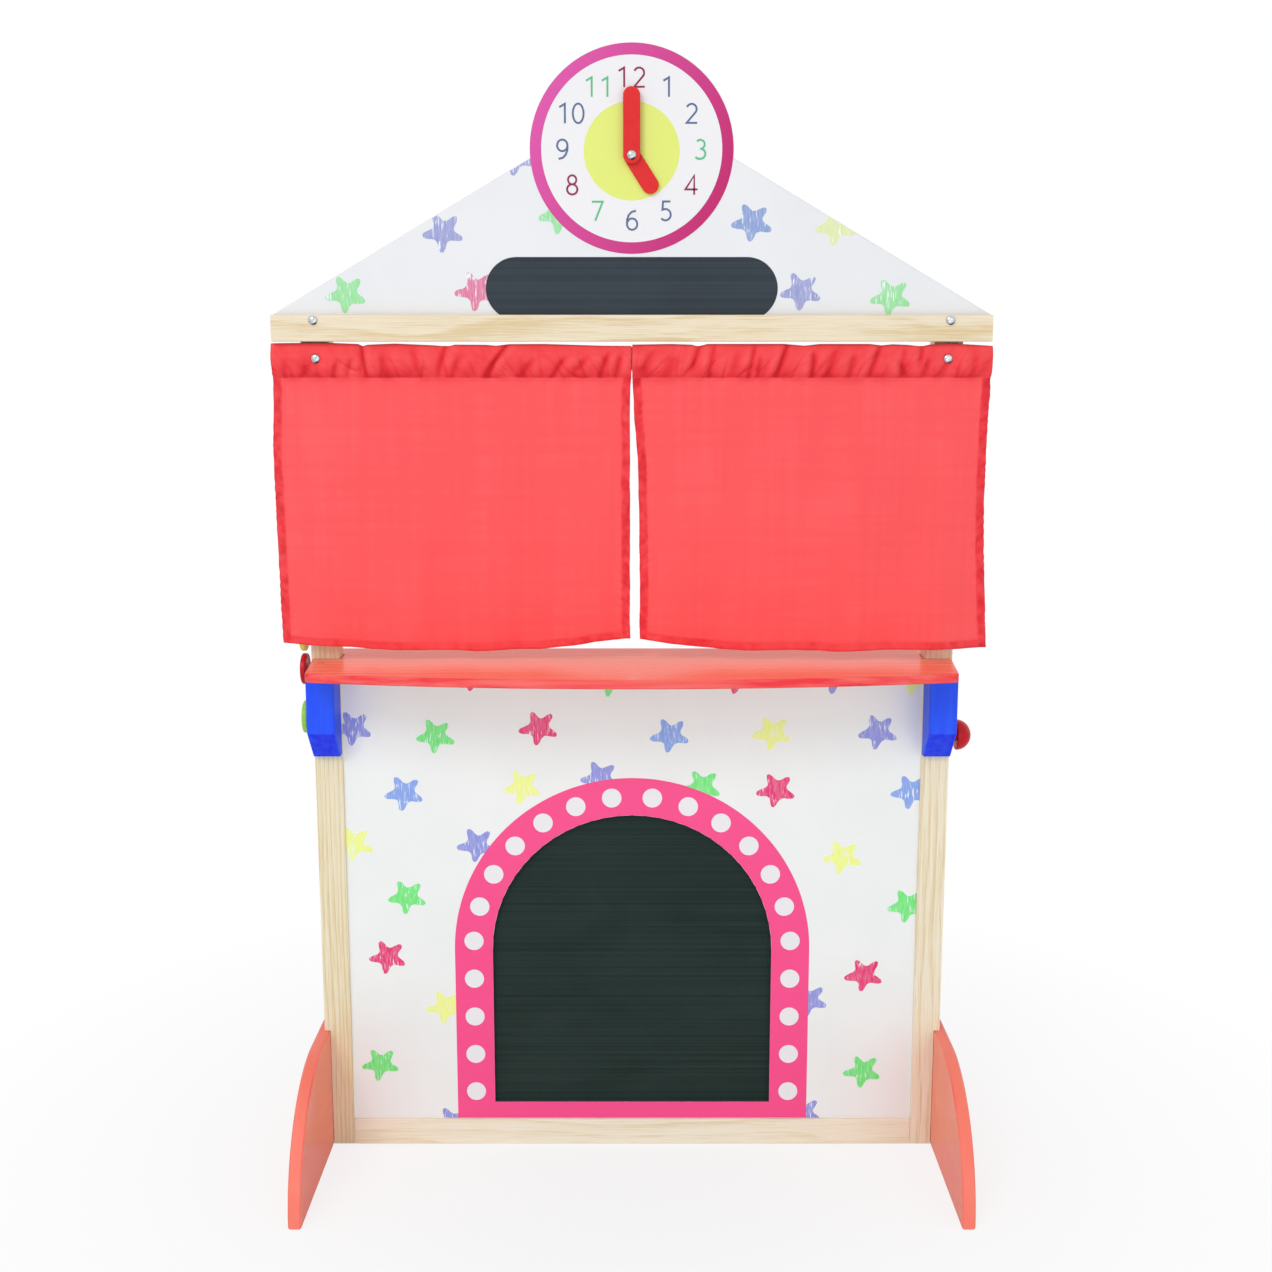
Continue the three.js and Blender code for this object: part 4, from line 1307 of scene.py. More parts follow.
@dataclass
class Numeral:
    """One thin numeral of the dial, drawn as strokes of even width."""

    text: str
    centre: Point
    height_mm: float
    stroke_mm: float

    def lay(self, film: Film, finish: Finish, layer: int) -> None:
        """Lay the numeral on a film.

        Args:
            film: The film that gets it.
            finish: The ink.
            layer: How many films lie under it.
        """
        starts: list[float] = []
        reach = 0.0
        for digit in self.text:
            reach += SECOND_DIGIT_GAP[digit] if starts else 0.0
            starts.append(reach)
            reach += DIGITS[digit][0]
        high = self.height_mm
        left, low = self.centre[0] - reach * high / 2, self.centre[1] - high / 2
        for digit, start in zip(self.text, starts):
            for step, line in enumerate(DIGITS[digit][1]):
                scaled = [(left + (start + x) * high, low + z * high) for x, z in line]
                film.lay(ribbon(scaled, self.stroke_mm), finish, layer + step)


@dataclass
class PrintedGable:
    """The print on the gable board: stars, the dial with its numerals, and the bare slate sign."""

    dial_z_mm: float = 1095.5
    dial_radius_mm: float = 104.0
    face_radius_mm: float = 92.4
    sun_radius_mm: float = 49.0
    sun_z_mm: float = 1093.8
    numeral_radius_mm: float = 70.4
    numeral_height_mm: float = 20.2
    stroke_mm: float = 1.95
    sign_half_mm: float = 151.2
    sign_radius_mm: float = 32.0
    sign_z_mm: float = 956.3
    rail_top_mm: float = 929.7
    slope_corner: Point = (372.5, 929.5)
    slope_top_mm: float = 1147.0
    first_seed: int = 11
    stars: tuple[tuple[str, float, float], ...] = (
        ("PURPLE", -194.2, 1013.4), ("GREEN", -296.0, 950.9), ("PURPLE", -118.5, 1088.6),
        ("GREEN", -74.9, 1030.8), ("PINK", -161.3, 954.0), ("BLUE", 123.6, 1023.4),
        ("PURPLE", 175.3, 954.0), ("YELLOW", 210.1, 1019.4), ("GREEN", 268.8, 947.9),
    )
    # The first letters of the colours from 1 to 12
    numeral_colours: str = "SSGCSSGCSSGC"

    def lay_dial(self, film: Film) -> None:
        """Lay the dial: rim, face and yellow middle.

        Args:
            film: The gable's film.
        """
        middle = (0.0, self.dial_z_mm)
        film.lay([circle(middle, self.dial_radius_mm, 160)], DIAL_PINK, 1)
        film.lay([circle(middle, self.face_radius_mm, 160)], DIAL_WHITE, 2)
        film.lay([circle((0.0, self.sun_z_mm), self.sun_radius_mm, 120)], DIAL_YELLOW, 3)

    def lay_numerals(self, film: Film) -> None:
        """Lay the numerals 1 to 12 round the dial.

        Args:
            film: The gable's film.
        """
        colours = {colour.name[0]: colour.value for colour in NumeralColour}
        places = arc((0.0, self.dial_z_mm), (self.numeral_radius_mm,) * 2, 60, -270, 11)
        for hour, (place, letter) in enumerate(zip(places, self.numeral_colours), start=1):
            numeral = Numeral(str(hour), place, self.numeral_height_mm, self.stroke_mm)
            numeral.lay(film, colours[letter], 4)

    def build(self) -> None:
        """Lay all the gable's print as one piece."""
        film = Film("gable_print", box_mm("gable_board")[0].y)
        foot = ((0.0, self.rail_top_mm), (0.0, 1.0))
        x, z = self.slope_corner
        rise = self.slope_top_mm - z
        slopes = [((side * x, z), (-side * rise, -x)) for side in (-1, 1)]
        stars = [(WashedColour[name], *centre) for name, *centre in self.stars]
        lay_stars(film, stars, self.first_seed, [*slopes, foot])
        self.lay_dial(film)
        # The sign has round ends and is cut off by the rail
        flat, radii = self.sign_half_mm - self.sign_radius_mm, (self.sign_radius_mm,) * 2
        sign = arc((flat, self.sign_z_mm), radii, -90, 90, 40)
        sign += arc((-flat, self.sign_z_mm), radii, 90, 270, 40)
        film.lay([clip(sign, *foot)], SIGN, 1)
        self.lay_numerals(film)
        film.finish()


@dataclass
class PrintedPanel:
    """The print on the lower panel: stars, and a pink arch with a row of white bulbs."""

    half_width_mm: float = 316.8
    foot_mm: float = 30.5
    head_mm: float = 537.8
    window_radius_mm: float = 156.05
    window_foot_mm: float = 49.95
    window_margin_mm: float = 2.0
    spring_mm: float = 232.0
    band_radius_mm: float = 198.5
    bulb_radius_mm: float = 10.75
    bulb_ring_mm: float = 177.25
    first_bulb_deg: float = 7.26
    bulb_step_deg: float = 13.22
    bulbs_on_arc: int = 7
    straight_bulbs_mm: tuple[float, ...] = (198.0, 153.0, 108.0, 63.0)
    first_seed: int = 101
    stars: tuple[tuple[str, float, float], ...] = (
        ("PURPLE", -305.0, 486.9), ("GREEN", -215.3, 478.0), ("CRIMSON", -101.6, 486.9),
        ("BLUE", 41.8, 479.1), ("YELLOW", 153.4, 481.3), ("PURPLE", 269.3, 482.5),
        ("CRIMSON", -174.6, 548.4), ("GREEN", -23.6, 542.7), ("CRIMSON", 114.5, 544.9),
        ("PURPLE", 220.0, 544.9), ("YELLOW", 306.0, 544.0), ("BLUE", -251.0, 413.5),
        ("YELLOW", -121.0, 420.4), ("PURPLE", -35.3, 430.6), ("GREEN", 77.1, 420.4),
        ("CRIMSON", 158.7, 416.9), ("BLUE", 306.3, 414.7), ("YELLOW", -308.0, 355.2),
        ("PURPLE", -171.8, 354.0), ("YELLOW", 233.1, 340.2), ("GREEN", -251.0, 293.9),
        ("GREEN", 306.6, 283.4), ("CRIMSON", -274.0, 223.5), ("CRIMSON", 260.8, 202.3),
        ("YELLOW", -210.4, 164.2), ("PURPLE", 198.8, 172.6), ("GREEN", -285.7, 95.8),
        ("GREEN", 261.9, 87.3), ("PURPLE", -204.7, 24.2), ("PURPLE", 195.0, 35.7),
    )

    def bulb_centres(self) -> list[Point]:
        """The middles of the bulbs, from the crown down both sides.

        Returns:
            Their X and Z.
        """
        ring, steps = self.bulb_ring_mm, self.bulbs_on_arc - 1
        start = 90 - self.first_bulb_deg
        end = start - steps * self.bulb_step_deg
        down = arc((0, self.spring_mm), (ring, ring), start, end, steps)
        down += [(ring, z) for z in self.straight_bulbs_mm]
        return [(side * x, z) for side in (-1, 1) for x, z in down]

    def build(self) -> None:
        """Lay all the panel's print as one piece."""
        film = Film("panel_print", box_mm("front_panel")[0].y)
        wide = self.half_width_mm
        edges = [((-wide, 0), (1, 0)), ((wide, 0), (-1, 0))]
        edges += [((0, self.foot_mm), (0, 1)), ((0, self.head_mm), (0, -1))]
        window = ((0.0, self.spring_mm), self.window_radius_mm + self.window_margin_mm)
        stars = [(StarColour[name], *centre) for name, *centre in self.stars]
        lay_stars(film, stars, self.first_seed, edges, window)
        outer = arch(self.band_radius_mm, self.foot_mm, self.spring_mm)
        inner = arch(self.window_radius_mm, self.window_foot_mm, self.spring_mm)
        film.lay([outer, inner[::-1]], ARCH_PINK, 1)
        for centre in self.bulb_centres():
            film.lay([circle(centre, self.bulb_radius_mm, 64)], DIAL_WHITE, 2)
        film.finish()


@dataclass(frozen=True)
class Crease:
    """A crease in the sleeve, from its top to its foot, with a low lip beside it.

    Attributes:
        top_mm: Distance from the stand's middle at the crease's top end.
        foot_mm: Distance at its lower end.
        high: Where it starts, as a share of the sleeve's height from the seam.
        low: Where it ends.
        depth_mm: How deep it is.
        half_mm: Half its width.
        fade: The share of the height over which it fades past each end.
        sharpness: How steep the crease and its lip are.
        lip: The lip's height, distance and width as shares of the crease's.
    """

    top_mm: float
    foot_mm: float
    high: float
    low: float
    depth_mm: float
    half_mm: float
    fade: float = 0.25
    sharpness: Point = (2.2, 1.6)
    lip: Triple = (0.3, 1.9, 1.2)

    def dent(self, x: float, share: float) -> float:
        """How deep the crease is at a place.

        Args:
            x: Distance from the stand's middle.
            share: Height above the seam as a share of the sleeve's height.

        Returns:
            The depth in millimetres.
        """
        fade = clamp(min(share - self.low, self.high - share) / self.fade + 1)
        if not fade:
            return 0.0
        off = (x - self.foot_mm - (self.top_mm - self.foot_mm) * share) / self.half_mm
        rise, away, width = self.lip
        groove = math.exp(-self.sharpness[0] * off**2)
        lip = rise * math.exp(-self.sharpness[1] * ((off + away) / width) ** 2)
        return self.depth_mm * fade * (groove - lip)


def creases(*rows: tuple[float, ...]) -> tuple[Crease, ...]:
    """Creases from rows of their first six numbers."""
    return tuple(Crease(*row) for row in rows)


@dataclass(frozen=True)
class CurtainForm:
    """What the two curtains don't share. Distances are from the stand's middle outwards.

    Attributes:
        top: Distances, each with how far the sleeve's top stands off the rail.
        hem: Places from the outer edge at 0 to the inner one at 1, with the hem's height.
        outer: Places from the seam at 0 to the hem at 1, with the outer edge's distance.
        inner: The same for the inner edge.
        creases: The sleeve's creases.
    """

    top: tuple[Point, ...]
    hem: tuple[Point, ...]
    outer: tuple[Point, ...]
    inner: tuple[Point, ...]
    creases: tuple[Crease, ...]


LEFT_FORM = CurtainForm(
    top=(
        (0, -0.5), (30, -0.3), (92, 1.5), (128, 1.3), (141, -0.4), (152, 0.6), (184, 0.8),
        (191, -1.1), (208, 0.2), (247, 1.9), (275, 0.7), (281, -1.0), (286, 1.5), (314, 2.6),
        (343, 2.6), (375, 2.2),
    ),
    hem=(
        (0, 584.5), (0.1, 582.0), (0.26, 577.6), (0.4, 577.0), (0.55, 575.6), (0.66, 577.8),
        (0.74, 577.4), (0.82, 581.5), (0.9, 586.0), (1, 589.0),
    ),
    outer=(
        (0, 375), (0.05, 375.2), (0.27, 377.4), (0.5, 377), (0.65, 376.4), (0.82, 375.8), (1, 375)
    ),
    inner=((0, 0.45), (0.05, 1.9), (1, 2.2)),
    creases=creases(
        (10, 17, 0.6, 0.1, 2.6, 4.5), (22, 34, 0.65, 0.0, 2.8, 4.5), (40, 62, 0.5, 0.3, 2.2, 6.0),
        (62, 84, 0.5, 0.0, 2.8, 5.0), (92, 118, 0.4, 0.0, 2.2, 7.0), (132, 154, 1.0, 0.1, 3.4, 4.5),
        (140, 150, 0.4, 0.0, 2.0, 4.0), (176, 188, 0.5, 0.0, 2.0, 5.0),
        (194, 203, 1.0, 0.1, 2.4, 4.5), (228, 222, 0.8, 0.0, 1.6, 6.0),
        (262, 256, 0.6, 0.1, 1.4, 6.0), (281, 277, 1.0, 0.15, 3.0, 3.6),
        (288, 298, 0.45, 0.0, 2.0, 4.0), (303, 312, 0.35, 0.0, 2.0, 4.0),
        (325, 345, 0.35, 0.05, 1.8, 7.0), (360, 362, 0.4, 0.0, 1.4, 4.0),
    ),
)
RIGHT_FORM = CurtainForm(
    top=(
        (0, 0.8), (40, 1.5), (62, 0.8), (69, -1.0), (79, 1.5), (158, 1.6), (180, -0.3), (196, 1.5),
        (248, 1.5), (260, 0.0), (272, 1.2), (288, 0.5), (302, -1.1), (312, 1.0), (333, 2.0),
        (360, 0.5), (375, -0.4),
    ),
    hem=(
        (0, 579.5), (0.1, 577.2), (0.24, 577.0), (0.4, 575.6), (0.6, 576.4), (0.76, 577.2),
        (0.86, 581.4), (1, 589.0),
    ),
    outer=(
        (0, 374.6), (0.05, 375.2), (0.1, 374.2), (0.27, 373.4), (0.38, 372.9), (0.5, 373.3),
        (0.65, 374.6), (0.82, 377.6), (0.93, 379.6), (1, 380),
    ),
    inner=((0, 0.45), (0.1, 2.2), (0.16, 2.8), (0.22, 4.6), (0.3, 6.2), (0.5, 7.9), (1, 8.7)),
    creases=creases(
        (22, 12, 0.7, 0.2, 1.4, 7.0), (46, 38, 0.55, 0.2, 1.6, 8.0), (70, 60, 1.0, 0.4, 2.6, 4.0),
        (86, 80, 0.9, 0.0, 2.0, 4.0), (112, 104, 0.7, 0.1, 1.4, 6.0),
        (128, 122, 0.9, 0.0, 2.2, 3.6), (136, 131, 0.5, 0.0, 1.8, 3.2),
        (161, 150, 1.0, 0.0, 3.4, 4.0), (190, 188, 0.7, 0.0, 2.8, 4.0),
        (213, 204, 0.8, 0.0, 1.8, 6.0), (234, 228, 0.6, 0.0, 1.8, 5.0),
        (258, 247, 1.0, 0.1, 2.8, 4.5), (272, 286, 0.35, 0.15, 2.2, 5.0),
        (284, 280, 0.8, 0.1, 1.6, 4.0), (302, 298, 1.0, 0.5, 2.2, 4.0),
        (312, 304, 0.5, 0.1, 2.2, 5.0), (336, 322, 0.45, 0.15, 2.0, 6.0),
        (358, 356, 0.6, 0.0, 1.2, 5.0),
    ),
)


class Ripple(Enum):
    """Waves in the cloth and in its painted shade: the size of their cells in millimetres, their
    seed and their height.
    """

    EDGE = (46, 3, 0.8)
    EDGE_FINE = (17, 3.5, 0.4)
    INNER_EDGE = (30, 5, 0.6)
    INNER_EDGE_FINE = (13, 5.5, 0.3)
    CREASE = (21, 21, 1)
    CREASE_FINE = (11, 22, 1)
    GATHER = (34, 1, 1)
    GATHER_FINE = (12, 2, 0.4)
    SEAM_LINE = (9, 23, 0.9)
    HEM_LINE = (24, 6, 0.5)
    BILLOW = (62, 4, 0.4)
    FOLD_MARKS = (16, 8, 0.4)
    TUCK = (13, 7, 1.1)
    TUCK_FINE = (6, 7.5, 0.5)
    PUCKER_BEND = (40, 12, 2.6)
    PUCKER_DEPTH = (55, 13, 1.2)
    PUCKER_FINE = (6, 24, 0.8)
    FOOT = (20, 14, 1.4)
    FOOT_FINE = (9, 15, 1.1)
    PLY_EDGE = (15, 25, 0.9)
    SHUT = (9, 16, 0.7)
    SHUT_FINE = (4, 16.5, 0.35)
    PATCH = (26, 19, 0.4)
    SEAM_PLY = (13, 26, 0.7)
    HEM_PLY = (60, 27, 0.5)
    SLEEVE_PLY = (17, 18, 0.9)
    SLEEVE_PLY_FINE = (14, 18.5, 0.2)


@dataclass(frozen=True)
class SleeveRow:
    """A row of the sleeve: where it rests, its way out and how far it may go that way."""

    y: float
    z: float
    out_y: float = 0.0
    out_z: float = 0.0
    free: float = 0.0

    @property
    def in_front(self) -> bool:
        """Whether the row lies on the sleeve's front."""
        return self.out_y < -0.2


@dataclass
class Curtain:
    """One curtain: a sleeve on the rail and a hemmed panel that hangs from it.

    The cloth is a single sheet, laid row by row: up behind the rail, over it, down the front to
    the seam, down the panel, and back up inside the hem. "across" runs from 0 at the outer edge to
    1 at the inner one, and "down" from 0 at the seam to 1 at the hem.

    Attributes:
        name: Left or right.
        side: -1 or 1.
        form: What this curtain doesn't share with the other one.
        bend_mm: Not used.
        edge_run_mm: The drop over which the waves of the edges are measured.
        bolt_calm_mm: How far from its bolt the cloth is held, and how far on it is free.
        gather_mm: How far the sleeve stands off the rail, evenly and at its fullest.
        fine_creases: Waves whose zero line is a crease, with its depth and lean.
        edge_begin: Share of the drop over which the edges start to wander.
        fold_begin: The same for the folds.
        tuck_begin: The same for the tucks.
        off_plane_mm: How far the panel hangs in front of its plane.
        mark_mm: Height, half width and depth of the level mark of a fold.
        pucker_mm: How far the puckers reach from a side edge past the hem and inside it.
        stitch_mm: Length, half width and height of a stitch.
    """

    name: str
    side: int
    form: CurtainForm
    plane_mm: float = -19.0
    back_mm: float = -13.25
    front_mm: float = -24.9
    rail_top_mm: float = 897.0
    cloth_top_mm: float = 898.2
    seam_mm: float = 866.5
    outer_top_mm: float = 375.2
    inner_head_mm: float = 0.45
    thickness_mm: float = 0.7
    hem_mm: float = 8.6
    drop_mm: float = 290.0
    width_mm: float = 375.0
    edge_run_mm: float = 300.0
    edge_begin: float = 0.07
    fold_begin: float = 0.06
    tuck_begin: float = 0.02
    off_plane_mm: float = 2.3
    bend_mm: Point = (0.1, 9.0)
    fold_depth_mm: float = 3.2
    fold_pitch_mm: float = 94.0
    fold_sway_mm: float = 33.0
    columns: int = 300
    hem_columns: int = 17
    hem_share: float = 0.06
    panel_rows: int = 120
    bolt_mm: Point = (329.0, 885.0)
    bolt_calm_mm: Point = (5.0, 15.0)
    bolt_gap_mm: float = 1.1
    gather_mm: Point = (0.7, 4.2)
    fine_creases: tuple[tuple[Ripple, float, float], ...] = (
        (Ripple.CREASE, 1.7, 0.55), (Ripple.CREASE_FINE, 0.9, 0.9)
    )
    mark_mm: Triple = (716.0, 2.2, 0.35)
    pucker_mm: Point = (18.0, 60.0)
    pucker_pitch_mm: float = 13.5
    foot_mm: float = 26.0
    stitch_mm: Triple = (2.2, 0.22, 0.26)
    stitch_step_mm: float = 3.3

    def wave(self, x: float, z: float, ripple: Ripple) -> float:
        """Smooth seeded noise, at most as strong as the ripple's height."""
        cell, seed, height = ripple.value
        return height * noise.noise(Vector((x / cell, z / cell, seed + 17.3 * self.side)))

    def edges(self, down: float) -> Point:
        """Distance of the panel's outer and inner edge from the stand's middle.

        The curtains hang a little to the right, so that the gap between them starts as a slit
        at the middle and opens mostly to the right of it.

        Args:
            down: From 0 at the seam to 1.

        Returns:
            The two distances.
        """
        begun = clamp(down / self.edge_begin)
        run = self.edge_run_mm * down
        outer = self.wave(0, run, Ripple.EDGE) + self.wave(9, run, Ripple.EDGE_FINE) - 0.4
        inner = self.wave(50, run, Ripple.INNER_EDGE) + self.wave(70, run, Ripple.INNER_EDGE_FINE)
        return (
            read(self.form.outer, down) + outer * begun,
            read(self.form.inner, down) + inner * begun,
        )

    def sleeve_rows(self) -> list[SleeveRow]:
        """The sleeve's rows, from the seam up behind the rail, over it and down its front.

        Returns:
            The rows.
        """
        back, front, top, seam = self.back_mm, self.front_mm, self.cloth_top_mm, self.seam_mm
        rows = [SleeveRow(self.plane_mm + 1.0, seam + 0.2), SleeveRow(back - 1.8, seam + 2.8)]
        rows += [SleeveRow(back, z) for z in np.linspace(seam + 5.2, self.rail_top_mm - 1, 8)]
        rows.append(SleeveRow(back - 0.5, top - 0.5, 0.0, 0.5, 0.3))
        rows += [SleeveRow(y, top, 0.0, 1.0, 1.0) for y in np.linspace(back - 2, front + 2, 5)]
        rows.append(SleeveRow(front + 0.4, top - 0.6, -0.35, 0.9, 1.0))
        for drop in np.linspace(0, 1, 21):
            z = top - 1.6 + (seam + 3.6 - (top - 1.6)) * drop
            rows.append(SleeveRow(front, z, -1.0, 0.0, 0.5 + 0.5 * clamp(2.5 * drop)))
        rows.append(SleeveRow(front + 1.2, seam + 2.0, -1.0, 0.0, 0.8))
        rows.append(SleeveRow(front + 2.6, seam + 0.8, -0.7, 0.0, 0.6))
        rows.append(SleeveRow(self.plane_mm - 2.2, seam - 0.2, -0.3, 0.0, 0.3))
        return rows

    def height_share(self, z: float) -> float:
        """Height above the seam as a share of the sleeve's height."""
        return (z - self.seam_mm) / (self.rail_top_mm - self.seam_mm)

    def crease_depth(self, x: float, z: float) -> float:
        """How deep all creases together are at a place of the sleeve; a lip counts as less.

        Args:
            x: Distance from the stand's middle.
            z: Height above the floor.

        Returns:
            The depth.
        """
        share = self.height_share(z)
        depth = sum(crease.dent(x, share) for crease in self.form.creases)
        low = clamp(1.15 - share)
        for ripple, deep, lean in self.fine_creases:
            level = self.wave(x - lean * (z - self.seam_mm), 0.45 * z, ripple)
            line = max(0.0, 1 - 5.5 * abs(level + 0.05))
            depth += deep * line**2 * (0.2 + 0.8 * low**2)
        return depth

    def gather(self, x: float, z: float) -> float:
        """How far the sleeve's cloth stands off the rail's front at a place.

        Args:
            x: Distance from the stand's middle.
            z: Height above the floor.

        Returns:
            The distance.
        """
        even, full = self.gather_mm
        lean = x - 0.5 * (z - self.seam_mm)
        waves = self.wave(lean, 0.4 * z, Ripple.GATHER) + self.wave(lean, z, Ripple.GATHER_FINE)
        bulge = full * math.sin(math.pi * clamp((self.height_share(z) - 0.12) / 1.08))
        height = even + waves + bulge - 1.35 * self.crease_depth(x, z)
        held, spread = self.bolt_calm_mm
        calm = clamp((math.dist((x, z), self.bolt_mm) - held) / spread)
        return max(0.0, height) * calm + self.bolt_gap_mm * (1 - calm)

    def sleeve_point(self, row: SleeveRow, x: float) -> Triple:
        """A point of the sleeve at a distance from the stand's middle.

        Args:
            row: The sleeve's row.
            x: Distance from the stand's middle.

        Returns:
            The point.
        """
        lift = 0.0
        if row.out_z > 0.4:
            lift = row.out_z * row.free * max(-0.6, read(self.form.top, x))
        if row.in_front:
            near_seam = max(0.0, 1 - abs(row.z - self.seam_mm) / 6)
            lift += near_seam * self.wave(x, 0, Ripple.SEAM_LINE)
        reach = self.gather(x, row.z) * row.free
        return (self.side * x, row.y + row.out_y * reach, row.z + lift)

    def sleeve_plies(self, row: SleeveRow, x: float) -> float:
        """The painted shade of the sleeve's cloth at a place: doubled cloth, deep creases and its
        foot.

        Args:
            row: The sleeve's row.
            x: Distance from the stand's middle.

        Returns:
            0 for one layer, near 1 for two, and more where shade is painted in a crease or by the
            seam.
        """
        shade_amount = 0.0
        if row.in_front:
            # Painted shade at the sleeve's foot by the seam and in its deep creases
            low = max(0.0, 1 - (row.z - self.seam_mm) / 13)
            shade_amount = 0.34 * self.crease_depth(x, row.z) - 0.12
            shade_amount += low * (0.4 + self.wave(x, 0.6 * row.z, Ripple.SLEEVE_PLY))
            shade_amount += self.wave(x, row.z, Ripple.SLEEVE_PLY_FINE)
        return clamp(0.62 + shade_amount, 0.2, 1.8)

    def panel_point(self, across: float, down: float) -> Triple:
        """A point of the hanging panel, at the middle of the cloth's thickness.

        Args:
            across: From 0 at the outer edge to 1.
            down: From 0 at the seam to 1.

        Returns:
            The point.
        """
        outer, inner = self.edges(down)
        width = outer - inner
        x = self.side * (outer - width * across)
        hem = read(self.form.hem, across) + self.wave(x, 0, Ripple.HEM_LINE)
        z = self.seam_mm + (hem - self.seam_mm) * down
        phase = 2 * math.pi * (x + self.fold_sway_mm * down) / self.fold_pitch_mm
        y = self.plane_mm + self.fold_depth_mm * down * (math.sin(phase) - 1)
        begun = clamp(down / self.fold_begin)
        y -= self.off_plane_mm + begun * (0.4 + self.wave(x, z * 0.55, Ripple.BILLOW))
        # Faint creases where the cloth lay folded
        mark, half, depth = self.mark_mm
        y -= begun * self.wave(x * 0.25, z, Ripple.FOLD_MARKS)
        y += depth * begun * math.exp(-(((z - mark - 0.01 * x) / half) ** 2))
        # Tucks that run down from the seam
        tucks = max(0.0, 1 - down * 9) * clamp(down / self.tuck_begin)
        y -= tucks * (self.wave(x, z * 0.2, Ripple.TUCK) + self.wave(x, z * 0.3, Ripple.TUCK_FINE))
        # Puckers that lean across the side hems
        inside = width * min(across, 1 - across)
        past_hem, in_hem = self.pucker_mm
        if inside < past_hem:
            hold = max(0.0, 1 - inside / (past_hem if inside > self.hem_mm else in_hem))
            lean = 0.9 * inside * (1 if across < 0.5 else -1)
            bend = self.wave(3.0 + across, z, Ripple.PUCKER_BEND)
            turns = (z + lean) / self.pucker_pitch_mm + bend
            pucker = 0.8 + 1.1 * math.sin(2 * math.pi * turns)
            depth = 0.7 + max(0.0, self.wave(11 + across, z, Ripple.PUCKER_DEPTH) + 0.24)
            y -= begun * hold * (depth * pucker + self.wave(x, z, Ripple.PUCKER_FINE))
        low = z - hem
        if low < self.foot_mm:
            rough = abs(self.wave(x, z * 0.8, Ripple.FOOT_FINE))
            rough += self.wave(x, z * 0.4, Ripple.FOOT)
            y -= begun * (1 - low / self.foot_mm) * rough
        return (x, y, z)

    def panel_plies(self, across: float, down: float) -> float:
        """The painted shade of the panel's cloth at a place: doubled hems, creases and under the
        seam.

        Args:
            across: From 0 at the outer edge to 1.
            down: From 0 at the seam to 1.

        Returns:
            0 for one layer, near 1 for two, and more where the shade of a shut crease is painted.
        """
        outer, inner = self.edges(down)
        inside = min(across, 1 - across) * (outer - inner)
        x, z = across * self.width_mm, down * self.drop_mm
        left = self.drop_mm - z
        # The hems' inner edges waver along their own length
        edge = self.hem_mm + self.wave(x if inside > 20 else z, 3 * across, Ripple.PLY_EDGE)
        side, foot = (clamp((edge - away) / 1.2 + 0.5) for away in (inside, left))
        # Painted shade in shut creases, in patches above the bottom hem and just under the seam
        shade_amount = self.wave(x, z, Ripple.SHUT) + self.wave(x, z, Ripple.SHUT_FINE)
        patch = max(0.0, self.wave(x, 0.2 * z, Ripple.PATCH)) * max(0.0, 1 - left / 30)
        top = max(0.0, 1 - down * 26) * (0.3 + self.wave(x, z, Ripple.SEAM_PLY))
        held = max(0.95 * side, (0.55 + self.wave(x, 0, Ripple.HEM_PLY)) * foot)
        return clamp(held * (1 + shade_amount) + patch + top, 0.0, 1.7)

    def hem_point(self, across: float, back_up: float) -> Triple:
        """A point of the part that is turned up behind the hem, from 0 at its fold to 1."""
        x, y, z = self.panel_point(across, 1 - self.hem_mm / self.drop_mm * back_up)
        return (x, y + 1.0, z if back_up else z - 0.1)

    def rows(self) -> list[tuple[list[Triple], list[float]]]:
        """All rows, each with its points and the painted shade of the cloth at them.

        Returns:
            The rows.
        """
        edge = np.linspace(0, self.hem_share, self.hem_columns)
        between = self.columns - 2 * self.hem_columns + 3
        middle = np.linspace(self.hem_share, 1 - self.hem_share, between)[1:-1]
        places = np.concatenate([edge, middle, 1 - edge[::-1]]).tolist()
        span = self.outer_top_mm - self.inner_head_mm
        distances = [self.outer_top_mm - span * across for across in places]
        made = [
            (
                [self.sleeve_point(row, x) for x in distances],
                [self.sleeve_plies(row, x) for x in distances],
            )
            for row in self.sleeve_rows()
        ]
        for step in range(1, self.panel_rows + 1):
            down = step / self.panel_rows
            points = [self.panel_point(across, down) for across in places]
            made.append((points, [self.panel_plies(across, down) for across in places]))
        for back_up in (0.0, 0.35, 0.7, 1.0):
            points = [self.hem_point(across, back_up) for across in places]
            made.append((points, [0.8] * len(points)))
        return made

